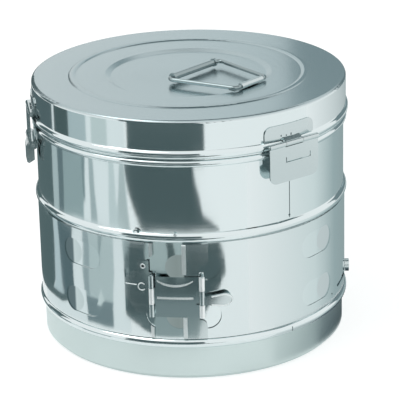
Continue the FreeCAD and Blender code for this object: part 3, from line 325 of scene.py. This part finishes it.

# Bail
# Thick wire bent to a closed bail, with a sleeve and two collars pushed on before it was
# closed. All of it was polished together. Its tint is much darker than the pins' though it is
# the same polished steel: painted shade along the wire.
bail_metal = polished_stainless(
    "polished_stainless_bail", "#98A6A8",
    wave_depth=0.00002, ring_depth=0.000002, smooth=0.06, dull=0.12,
)
finish_nodes(bail_metal, "handle_bail", "handle_grip", "handle_collars")

# Seam of the drum wall
# The wall's sheet meets itself in a resistance-welded lap, marked by a thin raised strip of
# dark grey: partly the weld's burnt grey and partly painted shade, standing in for the shadow
# along the lap's step. It shows between the middle bead and the hinge plate, and again where
# it crosses the lower bead.
seam_azimuth = 37.5
seam_half = 0.11
seam_proud = 0.00018
seam_low = 0.1455
seam_high = 0.1845
crossing_low = 0.0345
crossing_high = 0.0385
wall_face = 0.1450
low_bead_inside = 0.1474
low_bead_face = 0.14812
bar_step = 2


def new_piece(name, shape, material, body):
    """A finished mesh piece at the origin that rides on its body."""
    bmesh.ops.remove_doubles(shape, verts=shape.verts, dist=0.000002)
    bmesh.ops.recalc_face_normals(shape, faces=shape.faces)
    mesh = bpy.data.meshes.new(name)
    shape.to_mesh(mesh)
    shape.free()
    mesh.materials.append(material)
    piece = bpy.data.objects.new(name, mesh)
    bpy.context.scene.collection.objects.link(piece)
    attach(piece, body)


def outward(azimuth):
    """The level direction from the axis to an azimuth, counted from the band clasp."""
    angle = math.radians(azimuth)
    return Vector((math.sin(angle), -math.cos(angle), 0))


def join_rings(shape, rings):
    """Closes a row of equal rings of points to a solid with two ends."""
    count = len(rings[0])
    for first, second in zip(rings, rings[1:]):
        for at in range(count):
            after = (at + 1) % count
            shape.faces.new((first[at], first[after], second[after], second[at]))
    shape.faces.new(rings[0])
    shape.faces.new(rings[-1])


def add_wall_bar(shape, left, right, low, high, inner, outer, soften=0.0):
    """A bar bent round the axis between two azimuths, two heights and two radii."""
    steps = max(1, round(abs(right - left) / bar_step))
    profile = [
        (inner, low), (outer - soften, low), (outer, low + soften),
        (outer, high - soften), (outer - soften, high), (inner, high),
    ]
    rings = []
    for step in range(steps + 1):
        side = outward(left + (right - left) * step / steps)
        rings.append([shape.verts.new(side * out + Vector((0, 0, z))) for out, z in profile])
    join_rings(shape, rings)


# Burnt weld grey; on the seam it also paints the shade of the lap's step.
weld_grey_and_lap_shade_metal = polished_stainless(
    "weld_grey_and_lap_shade_stainless", "#5F6E70",
    wave_depth=0.00001, ring_depth=0.000002, smooth=0.45, dull=0.6,
)
seam = bmesh.new()
seam_left = seam_azimuth - seam_half
seam_right = seam_azimuth + seam_half
for low, high, inner, outer in (
    (seam_low, seam_high, wall_face, wall_face + seam_proud),
    (crossing_low, crossing_high, low_bead_inside, low_bead_face),
):
    add_wall_bar(seam, seam_left, seam_right, low, high, inner, outer)
new_piece("wall_seam", seam, weld_grey_and_lap_shade_metal, "drum")

# Spot welds and dots
# The seam ends in a spot weld, and one more spot sits beside the right-hand steam hole. Both
# are burnt grey like the seam.
head_sides = 20
head_profile = ((1.0, 0.0), (1.0, 0.45), (0.8, 0.85), (0.4, 1.0))


def add_button(shape, azimuth, height, base, radius, rise):
    """A low round head that lies on the wall and faces outwards."""
    side = outward(azimuth)
    across = Vector((-side.y, side.x, 0))
    up = Vector((0, 0, 1))
    centre = side * base + up * height
    rings = []
    for share, lift in head_profile:
        rings.append([
            shape.verts.new(
                centre + side * rise * lift
                + (across * math.cos(turn) + up * math.sin(turn)) * radius * share
            )
            for turn in (math.tau * at / head_sides for at in range(head_sides))
        ])
    join_rings(shape, rings)


spots = bmesh.new()
add_button(spots, 37.4, 0.1479, base=wall_face - 0.0002, radius=0.0011, rise=0.0006)
add_button(spots, 62.7, 0.0490, base=0.1460, radius=0.0008, rise=0.0005)
new_piece("wall_spot_weld", spots, weld_grey_and_lap_shade_metal, "drum")

# Dimples on the middle bead
# The rolling tool left two low bumps on the upper edge of the bead, polished with the wall.
# Each mirrors a little of everything, so it shows as a dark spot with a bright point.
dimples = bmesh.new()
add_button(dimples, -20.1, 0.1432, base=0.1460, radius=0.0036, rise=0.0009)
add_button(dimples, -6.0, 0.1430, base=0.1466, radius=0.0016, rise=0.0012)
new_piece("bead_dimples", dimples, drum_metal, "drum")

# Weld marks on the lid's leaves
# The hinge leaf and the clasp leaves are held by a few short projection welds that stay
# visible as small grey marks. They repeat, so Geometry Nodes put one on each place and
# turn it to face outwards, each a little longer or shorter.
leaf_proud = 0.1484
mark_size = (0.0008, 0.0005, 0.0022)
least_stretch = (0.8, 1.0, 0.55)
most_stretch = (1.2, 1.0, 1.1)
mark_seed = 4
mark_turn = 3
mark_down = 0.005
marks_tree = bpy.data.node_groups.new("projection_weld_marks", "GeometryNodeTree")
marks_tree.interface.new_socket("Geometry", in_out="INPUT", socket_type="NodeSocketGeometry")
size_input = marks_tree.interface.new_socket(
    "Mark size", in_out="INPUT", socket_type="NodeSocketVector"
)
seed_input = marks_tree.interface.new_socket("Seed", in_out="INPUT", socket_type="NodeSocketInt")
marks_tree.interface.new_socket("Geometry", in_out="OUTPUT", socket_type="NodeSocketGeometry")
given = add(marks_tree, "NodeGroupInput")
where = add(
    marks_tree, "ShaderNodeSeparateXYZ",
    Vector=add(marks_tree, "GeometryNodeInputPosition").outputs["Position"],
)
back = add(
    marks_tree, "ShaderNodeMath", {"operation": "MULTIPLY"}, in0=where.outputs["Y"], in1=-1.0
)
turned = add(
    marks_tree, "ShaderNodeMath", {"operation": "ARCTAN2"},
    in0=where.outputs["X"], in1=back.outputs["Value"],
)
facing = add(marks_tree, "ShaderNodeCombineXYZ", Z=turned.outputs["Value"])
uneven = add(
    marks_tree, "FunctionNodeRandomValue", {"data_type": "FLOAT_VECTOR"},
    in0=least_stretch, in1=most_stretch, Seed=given.outputs["Seed"],
)
mark = add(marks_tree, "GeometryNodeMeshCube", Size=given.outputs["Mark size"])
placed = add(
    marks_tree, "GeometryNodeInstanceOnPoints",
    Points=given.outputs["Geometry"], Instance=mark.outputs["Mesh"],
    Rotation=facing.outputs["Vector"], Scale=uneven.outputs["Value"],
)
real = add(marks_tree, "GeometryNodeRealizeInstances", Geometry=placed.outputs["Instances"])
burnt = add(
    marks_tree, "GeometryNodeSetMaterial", Geometry=real.outputs["Geometry"], Material=weld_grey_and_lap_shade_metal
)
add(marks_tree, "NodeGroupOutput", Geometry=burnt.outputs["Geometry"])

mark_places = [(33.0, 0.2262), (35.2, 0.2257), (37.3, 0.2259)]
for leaf in ("left_clasp_leaf", "rear_clasp_leaf"):
    lowest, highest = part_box(leaf)
    centre = (lowest + highest) / 2
    middle = math.degrees(math.atan2(centre.x, -centre.y))
    for azimuth in (middle - mark_turn, middle + mark_turn):
        mark_places.append((azimuth, highest.z - mark_down))
mark_points = [outward(azimuth) * leaf_proud + Vector((0, 0, z)) for azimuth, z in mark_places]
mark_mesh = bpy.data.meshes.new("mark_places")
mark_mesh.from_pydata(mark_points, [], [])
weld_marks = bpy.data.objects.new("lid_weld_marks", mark_mesh)
bpy.context.scene.collection.objects.link(weld_marks)
marks = weld_marks.modifiers.new("marks", "NODES")
marks.node_group = marks_tree
marks[size_input.identifier] = mark_size
marks[seed_input.identifier] = mark_seed
ready = weld_marks.evaluated_get(bpy.context.evaluated_depsgraph_get())
finished_marks = bpy.data.meshes.new_from_object(ready)
weld_marks.modifiers.clear()
weld_marks.data = finished_marks
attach(weld_marks, "lid")

# Folded edges at the band's mouth
# The bracket's left edge is folded over the band's end, above and below the hasp, so it
# catches the light as a narrow bright bar. Edges like this one are rubbed rough, and a
# whiter tint paints their highlight.
fold_left = -3.9
fold_right = -2.5
fold_inside = 0.1466
fold_face = 0.1483
fold_round = 0.0005
above_hasp = (0.1048, 0.1334)
below_hasp = (0.0426, 0.0632)
# A whiter tint than the drum's: painted highlight on rubbed edges, ridges and rims.
highlight_edge_metal = polished_stainless(
    "edge_stainless_painted_highlight", "#EEF5F5",
    wave_depth=0.00001, ring_depth=0.000003, smooth=0.4, dull=0.5,
)
edges = bmesh.new()
for low, high in (above_hasp, below_hasp):
    add_wall_bar(edges, fold_left, fold_right, low, high, fold_inside, fold_face, fold_round)
new_piece("bracket_folded_edge", edges, highlight_edge_metal, "band")

# Pressed marks on the band leaf
# A crease runs in from the leaf's tip to an open ring pressed round the upper rivet. Both
# are pressed up from the leaf's sheet; their ridges are rubbed rough, and a whiter tint
# paints a highlight on them.
leaf_face = 0.14725
ring_steps = 24
ring_sides = 10


def add_open_ring(shape, azimuth, height, radius, tube, start, end):
    """Part of a ring pressed up from the leaf, lying on its face."""
    side = outward(azimuth)
    across = Vector((-side.y, side.x, 0))
    up = Vector((0, 0, 1))
    centre = side * leaf_face + up * height
    rings = []
    for step in range(ring_steps + 1):
        turn = math.radians(start + (end - start) * step / ring_steps)
        out = across * math.cos(turn) + up * math.sin(turn)
        rings.append([
            shape.verts.new(
                centre + out * (radius + tube * math.cos(roll)) + side * tube * math.sin(roll)
            )
            for roll in (math.tau * at / ring_sides for at in range(ring_sides))
        ])
    join_rings(shape, rings)


pressings = bmesh.new()
add_wall_bar(
    pressings, -24.6, -20.4, 0.0925, 0.0934,
    inner=leaf_face - 0.0003, outer=leaf_face + 0.0004, soften=0.0002,
)
add_open_ring(pressings, -18.5, 0.0915, radius=0.0034, tube=0.00055, start=40, end=320)
new_piece("band_leaf_pressings", pressings, highlight_edge_metal, "band")

# Hollow rivet of the leaf's tab
# The tab is held by a hollow rivet with a rolled edge. The hollow is not modelled: a low
# near-black disc paints its shade, and the rolled edge takes the whiter tint of a painted
# highlight, so it shows as a dark dot in a bright ring.
rivet_azimuth = -17.9
rivet_height = 0.1115
eyelet = bmesh.new()
add_open_ring(eyelet, rivet_azimuth, rivet_height, radius=0.0019, tube=0.0006, start=0, end=359)
new_piece("band_tab_eyelet", eyelet, highlight_edge_metal, "band")
# Near-black: painted shade for the rivet's hollow.
painted_hollow_shade_metal = polished_stainless(
    "oxidised_rivet_hollow", "#2C3638",
    wave_depth=0.00001, ring_depth=0.000002, smooth=0.6, dull=0.7,
)
hollow = bmesh.new()
add_button(
    hollow, rivet_azimuth, rivet_height, base=leaf_face - 0.0001, radius=0.0014, rise=0.0002
)
new_piece("band_tab_rivet_hollow", hollow, painted_hollow_shade_metal, "band")

# Curled rim of the band lever
# The teardrop's edge is curled up all round and rubbed rough by fingers; a whiter tint paints
# a highlight on it. It follows the lever's outline from beside the knuckle round the tip and
# back, and lies on its face.
lever_azimuth = 2.8
lever_face = 0.1518
lever_height = 0.0805
rim_tube = 0.0007
rim_sunk = 0.4
rim_sides = 8
rim_start = 0.0085
rim_start_half = 0.0038
rim_belly = 0.0190
rim_belly_half = 0.0053
rim_tip = 0.0080
straight_steps = 6
round_steps = 18
rim_places = []
for step in range(straight_steps):
    share = step / straight_steps
    along = rim_start + (rim_belly - rim_start) * share
    rim_places.append((along, -rim_start_half - (rim_belly_half - rim_start_half) * share))
for step in range(round_steps + 1):
    turn = math.pi * step / round_steps
    rim_places.append((rim_belly + rim_tip * math.sin(turn), -rim_belly_half * math.cos(turn)))
rim_places += [(along, -up) for along, up in reversed(rim_places[:straight_steps])]

rim_points = []
for along, up in rim_places:
    side = outward(lever_azimuth + math.degrees(math.asin(along / lever_face)))
    point = side * (lever_face - rim_tube * rim_sunk) + Vector((0, 0, lever_height + up))
    rim_points.append((point, side))
rim = bmesh.new()
rings = []
for at, (point, side) in enumerate(rim_points):
    ahead = rim_points[min(at + 1, len(rim_points) - 1)][0]
    behind = rim_points[max(at - 1, 0)][0]
    cross = (ahead - behind).normalized().cross(side)
    rings.append([
        rim.verts.new(point + (cross * math.cos(turn) + side * math.sin(turn)) * rim_tube)
        for turn in (math.tau * step / rim_sides for step in range(rim_sides))
    ])
join_rings(rim, rings)
new_piece("band_lever_rim", rim, highlight_edge_metal, "band_lever")

# Table
# A white laminate table. It keeps the drum's shadow, and where the camera or the metal sees
# it, it also glows a little, so that it looks as white as the room.
table_half = 3.0
seen_white = 0.55
camera_white = 0.12


def seen_directly(tree):
    """The camera's ray, and a value that is 1 where camera or metal see a thing directly."""
    ray = add(tree, "ShaderNodeLightPath")
    seen = ray.outputs["Is Camera Ray"]
    for kind in ("Is Glossy Ray", "Is Transmission Ray"):
        seen = add(
            tree, "ShaderNodeMath", {"operation": "MAXIMUM"}, in0=seen, in1=ray.outputs[kind]
        ).outputs["Value"]
    return ray.outputs["Is Camera Ray"], seen


table_mesh = bpy.data.meshes.new("table")
table_shape = bmesh.new()
bmesh.ops.create_grid(table_shape, x_segments=1, y_segments=1, size=table_half)
table_shape.to_mesh(table_mesh)
table_shape.free()
table = bpy.data.objects.new("table", table_mesh)
bpy.context.scene.collection.objects.link(table)

table_paint = bpy.data.materials.new("white_table_laminate")
table_paint.use_nodes = True
tree = table_paint.node_tree
tree.nodes.clear()
by_camera, seen = seen_directly(tree)
glow = add(tree, "ShaderNodeMath", {"operation": "MULTIPLY"}, in0=seen, in1=seen_white)
glow = add(
    tree, "ShaderNodeMath", {"operation": "MULTIPLY_ADD"},
    in0=by_camera, in1=camera_white, in2=glow.outputs["Value"],
)
paper = add(tree, "ShaderNodeBsdfDiffuse", Color=linear("#BCBFBF"))
light_sheet = add(
    tree, "ShaderNodeEmission", Color=linear("#FFFFFF"), Strength=glow.outputs["Value"]
)
both = add(tree, "ShaderNodeAddShader", in0=paper.outputs[0], in1=light_sheet.outputs[0])
add(tree, "ShaderNodeOutputMaterial", Surface=both.outputs[0])
table_mesh.materials.append(table_paint)

# Room and light
# A white room, a little dimmer as a light than it looks, and one softbox above at the left,
# which gives the drum its faint shadow.
room_light = 0.75
world = bpy.data.worlds.new("white_room")
bpy.context.scene.world = world
world.use_nodes = True
tree = world.node_tree
tree.nodes.clear()
level = spread(tree, seen_directly(tree)[1], room_light, 1.0)
room = add(tree, "ShaderNodeBackground", Color=linear("#FFFFFF"), Strength=level)
add(tree, "ShaderNodeOutputWorld", Surface=room.outputs[0])

softbox = bpy.data.lights.new("softbox", "AREA")
softbox.shape = "RECTANGLE"
softbox.size = 1.4
softbox.size_y = 1.0
softbox.energy = 9
softbox_object = bpy.data.objects.new("softbox", softbox)
softbox_object.location = (-1.1, -0.6, 2.0)
aim = Vector((0, 0, 0.1)) - Vector(softbox_object.location)
softbox_object.rotation_euler = aim.to_track_quat("-Z", "Y").to_euler()
bpy.context.scene.collection.objects.link(softbox_object)

# Dark panel at the front
# A dark self-lit sheet that shows from the lid to the clasp, as a painted reflection. Like
# the cards of the next sections it lies flat on the table, out of the camera's sight, and the
# drum mirrors it. Its edges are given by the places on the drum where they show: a height
# and two azimuths.
wall_low = 0.142
wall_high = 0.212
lid_high = 0.262
band_high = 0.137
wall_mirror = 0.1455
band_mirror = 0.1468
lid_mirror = 0.1482
card_steps = 12
card_layers = (0.0015, 0.002, 0.0025, 0.003)


def seen_on_table(azimuth, height, out):
    """The point of the table that the camera sees mirrored at this place of the drum."""
    normal = outward(azimuth)
    place = normal * out + Vector((0, 0, height))
    ray = (place - Vector(camera_place)).normalized()
    ray = ray - 2 * ray.dot(normal) * normal
    return place + ray * (height / -ray.z)


def toned_sheet(name, paint_name, points, faces, tones):
    """A stage sheet with a tone at each point, its tree and the glow that shows the tones."""
    mesh = bpy.data.meshes.new(name)
    mesh.from_pydata(points, [], faces)
    point_tones = mesh.color_attributes.new("tone", "FLOAT_COLOR", "POINT")
    for at, tone in enumerate(tones):
        point_tones.data[at].color = tone
    sheet = bpy.data.objects.new(name, mesh)
    bpy.context.scene.collection.objects.link(sheet)
    paint = bpy.data.materials.new(paint_name)
    paint.use_nodes = True
    tree = paint.node_tree
    tree.nodes.clear()
    read = add(tree, "ShaderNodeVertexColor", {"layer_name": "tone"})
    shown = add(tree, "ShaderNodeEmission", Color=read.outputs["Color"], Strength=1.0)
    mesh.materials.append(paint)
    sheet.visible_shadow = False
    sheet.visible_diffuse = False
    return sheet, tree, shown.outputs[0]


def hidden_card(name, points, faces, tones):
    """A self-lit card, seen only in the metal and not by the camera: its glow paints reflections.
    """
    sheet, tree, shown = toned_sheet(name, f"self_lit_{name}", points, faces, tones)
    add(tree, "ShaderNodeOutputMaterial", Surface=shown)
    sheet.visible_camera = False


def blend(first, last, share):
    """A tone between two others."""
    return [a + (b - a) * share for a, b in zip(first, last)]


def card(name, code, rows, fade=None, out=wall_mirror, layer=1):
    """A card on the table. Each row is a height on the drum with the azimuths where the
    card's mirrored edges show; its tone may fade to the right."""
    points = []
    tones = []
    for height, left, right in rows:
        for step in range(card_steps + 1):
            share = step / card_steps
            place = seen_on_table(left + (right - left) * share, height, out)
            points.append((place.x, place.y, card_layers[layer]))
            tones.append(blend(linear(code), linear(fade or code), share))
    faces = []
    for row in range(len(rows) - 1):
        for step in range(card_steps):
            at = row * (card_steps + 1) + step
            faces.append((at, at + 1, at + card_steps + 2, at + card_steps + 1))
    hidden_card(name, points, faces, tones)


card("front_wall_card", "#526264", [
    (wall_low, -17, 10), (0.147, -18.5, 9), (0.160, -20.6, 3.8), (0.175, -22.4, 2.7),
    (0.190, -23.6, 2.1), (wall_high, -24.2, 1.8),
])
card("front_lid_card", "#526264", [
    (wall_high, -22.2, 4.8), (lid_high, -22.2, 4.8),
], out=lid_mirror)
card("front_band_card", "#526264", [
    (0.060, -25, 3), (0.075, -25, 6), (0.090, -25, 9.5), (0.105, -25, 11.5),
    (0.120, -24.5, 11), (band_high, -24.5, 8.5),
], out=band_mirror)

# Patches round the band's mouth
# Small light and dark self-lit cards on the panel: painted reflections of what the hasp, the
# mouth and the band's leaf mirror. The upper ones lie on the lower ones.
card("hasp_low_card", "#8A999B", [
    (0.060, -14, 3), (0.074, -14, 4), (0.082, -14, 4),
], out=band_mirror, layer=2)
card("mouth_high_card", "#AAB8B8", [
    (0.104, -17, -3), (band_high, -17, -3),
], out=band_mirror, layer=2)
card("mouth_wave_card", "#566566", [
    (0.104, -9.5, -6), (0.120, -9, -6.5), (band_high, -10, -7.5),
], layer=3)
card("leaf_foot_card", "#647476", [
    (0.043, -16.6, -15.8), (0.050, -20, -15), (0.060, -25, -14),
], out=band_mirror)
card("mouth_low_card", "#93A2A3", [
    (0.040, -15.8, 1), (0.052, -15, 2), (0.060, -14, 3),
], out=band_mirror)

# Strips at the left
# Dark and grey strips stand for the things that the left side mirrors. The lid, the wall and
# the band each have their own, because their reflections do not line up. All lie on one
# pale sheet.
card("left_base_card", "#ECF2F3", [
    (0.042, -72, -23), (0.140, -72, -23), (lid_high, -72, -23),
], layer=0)
for name, code, low_left, low_right, high_left, high_right in (
    ("wall_limb_card", "#5A6C6E", -88, -60.9, -88, -60.9),
    ("wall_first_strip", "#B4C2C4", -60.9, -56.8, -60.9, -56.8),
    ("wall_second_strip", "#6A7C80", -56.8, -53.6, -56.8, -53.1),
    ("wall_third_strip", "#9AACAE", -53.6, -42.5, -53.1, -42.5),
    ("wall_fifth_strip", "#AAB8BA", -39.1, -36, -39.1, -37.2),
):
    card(name, code, [(wall_low, low_left, low_right), (wall_high, high_left, high_right)])
card("wall_fourth_strip", "#809396", [(0.160, -42.5, -41.6), (wall_high, -42.5, -40.8)])
card("wall_sixth_strip", "#CCD8D9", [
    (wall_low, -30.9, -24), (0.170, -30.5, -27.7), (wall_high, -30.3, -28.4),
])
card("wall_seventh_strip", "#BAC6C7", [
    (wall_low, -27.2, -22.1), (0.170, -26.8, -23.5), (wall_high, -25.8, -24.5),
])
for name, code, left, right in (
    ("lid_limb_card", "#56676A", -88, -57.6),
    ("lid_first_strip", "#4E5F60", -56.3, -47.7),
    ("lid_second_strip", "#B4C3C6", -47.7, -38.9),
    ("lid_third_strip", "#CAD6D6", -36.6, -29.9),
):
    card(name, code, [(wall_high, left, right), (lid_high, left, right)], out=lid_mirror)
card("band_limb_card", "#5A6C6E", [
    (0.060, -88, -64), (0.070, -88, -62), (0.100, -88, -61.8), (band_high, -88, -61.8),
], out=band_mirror)
card("band_arc_card", "#5F7072", [(0.052, -69.5, -57.2), (0.060, -84, -49.9)], out=band_mirror)
card("band_light_strip", "#C2D0D4", [
    (0.060, -64, -56), (0.068, -62, -57), (0.100, -61.8, -57.6), (band_high, -61.8, -58),
], out=band_mirror)
card("band_dark_strip", "#5F7277", [
    (0.060, -56, -50), (0.070, -57, -49), (0.100, -57.6, -48.6), (band_high, -58, -48.6),
], out=band_mirror)
card("band_column_high", "#BECBCC", [
    (0.068, -43.1, -30), (0.100, -43.8, -29.5), (band_high, -42.5, -29.5),
], out=band_mirror)
card("band_column_low", "#7D8E92", [
    (0.043, -42.5, -30.5), (0.062, -43.1, -30.5), (0.068, -43.1, -30),
], out=band_mirror)
card("band_last_strip", "#A5B3B4", [
    (0.100, -24.5, -23.1), (band_high, -25.8, -22.6),
], out=band_mirror)
card("column_edge", "#9EADB0", [
    (0.068, -43.1, -41.2), (band_high, -43.4, -40.7),
], out=band_mirror, layer=3)
card("column_streak", "#98A8AA", [
    (0.100, -35.6, -34.6), (band_high, -36, -34),
], out=band_mirror, layer=3)
card("column_blob", "#D5E0E0", [
    (0.060, -37.9, -34.6), (0.068, -36.9, -33.2), (0.080, -35.1, -34),
], out=band_mirror, layer=3)

# Slow shading at the right
# Self-lit grey cards whose glow darkens towards the right-hand edge of the wall and the lid:
# painted shading, seen in the metal. The foot sees the table close by, where the cards are
# darkest.
for name, code, fade, left, right in (
    ("right_first_fade", "#FFFFFF", "#E0E8E8", 20, 50),
    ("right_second_fade", "#E0E8E8", "#A6B6B8", 50, 65),
    ("right_limb_fade", "#A6B6B8", "#8C9C9E", 65, 88),
):
    card(name, code, [(height, left, right) for height in (0.042, 0.140, wall_high)], fade)
card("right_lid_fade", "#FFFFFF", [(0.214, 45, 88), (lid_high, 45, 88)], "#93A4A6", lid_mirror)
card("right_foot_fade", "#E0E6E6", [(0.003, 30, 54), (0.041, 30, 54)], "#9FAAAC")
card("right_foot_limb", "#6C7A80", [(0.003, 54, 88), (0.041, 54, 88)], "#1E2A2E")

# Standing and hanging sheets
# Behind hang a white and a grey sheet, which the lid's spun top shows as soft light and
# shade. Sheets round the drum give the beads their dark lines. A last one hangs overhead,
# for the lines along the lid's rings and the bail.
behind = 0.62
hanging_low = 0.29
hanging_high = 0.85
for name, left, right, left_code, right_code in (
    ("back_middle_card", -0.30, 0.126, "#FFFFFF", "#E0E9EB"),
    ("back_right_card", 0.126, 0.50, "#9AABAF", "#A4B4B8"),
):
    corners = [
        (left, behind, hanging_low), (right, behind, hanging_low),
        (right, behind, hanging_high), (left, behind, hanging_high),
    ]
    codes = (left_code, right_code, right_code, left_code)
    hidden_card(name, corners, [(0, 1, 2, 3)], [linear(code) for code in codes])

sheet_out = 1.3
sheet_high = 0.75
sheet_step = 6
for name, code, left, right in (
    ("standing_front_card", "#526264", -48, 6),
    ("standing_left_card", "#5A6C6E", -126, -106),
    ("standing_limb_card", "#5A6C6E", -178, -136),
    ("standing_right_card", "#7A8B8F", 120, 172),
):
    steps = max(1, round((right - left) / sheet_step))
    points = []
    for step in range(steps + 1):
        side = outward(left + (right - left) * step / steps) * sheet_out
        points += [(side.x, side.y, 0.0), (side.x, side.y, sheet_high)]
    faces = [(at, at + 2, at + 3, at + 1) for at in range(0, steps * 2, 2)]
    hidden_card(name, points, faces, [linear(code)] * len(points))

overhead = 2.1
over_left = -0.4
over_right = 1.8
over_front = -0.2
over_back = 0.9
corners = [
    (over_left, over_front, overhead), (over_right, over_front, overhead),
    (over_right, over_back, overhead), (over_left, over_back, overhead),
]
hidden_card("overhead_card", corners, [(0, 1, 2, 3)], [linear("#5F7073")] * len(corners))

# Light inside the drum
# No dark shows in the steam holes of the photo's drum. A dim ring of light just inside the
# wall gives them their tone. It shows only outwards, so that the open drum's inside stays
# as it is. Each stop is an azimuth and the tone there.
glow_radius = 0.1438
glow_low = 0.044
glow_high = 0.132
tone_stops = (
    (-180, "#93A3A3"), (-60, "#55676A"), (-50, "#5F7175"), (-49, "#BFCFD0"), (-30, "#A5B6B8"),
    (-6, "#82908F"), (20, "#A9B6B6"), (44, "#BFCCCD"), (70, "#B0BEC0"), (180, "#93A3A3"),
)
glow_points = []
glow_tones = []
for azimuth in range(-180, 181):
    side = outward(azimuth) * glow_radius
    glow_points += [(side.x, side.y, glow_low), (side.x, side.y, glow_high)]
    stop = max(at for at in range(len(tone_stops) - 1) if tone_stops[at][0] <= azimuth)
    (start, first), (end, last) = tone_stops[stop : stop + 2]
    tone = blend(linear(first), linear(last), (azimuth - start) / (end - start))
    glow_tones += [tone, tone]
glow_faces = [(at, at + 2, at + 3, at + 1) for at in range(0, len(glow_points) - 2, 2)]
glow_ring, tree, shown = toned_sheet(
    "inside_glow", "dim_one_sided_light", glow_points, glow_faces, glow_tones
)
clear = add(tree, "ShaderNodeBsdfTransparent")
facing_in = add(tree, "ShaderNodeNewGeometry").outputs["Backfacing"]
one_sided = add(
    tree, "ShaderNodeMixShader", in0=facing_in, in1=shown, in2=clear.outputs[0],
)
add(tree, "ShaderNodeOutputMaterial", Surface=one_sided.outputs[0])
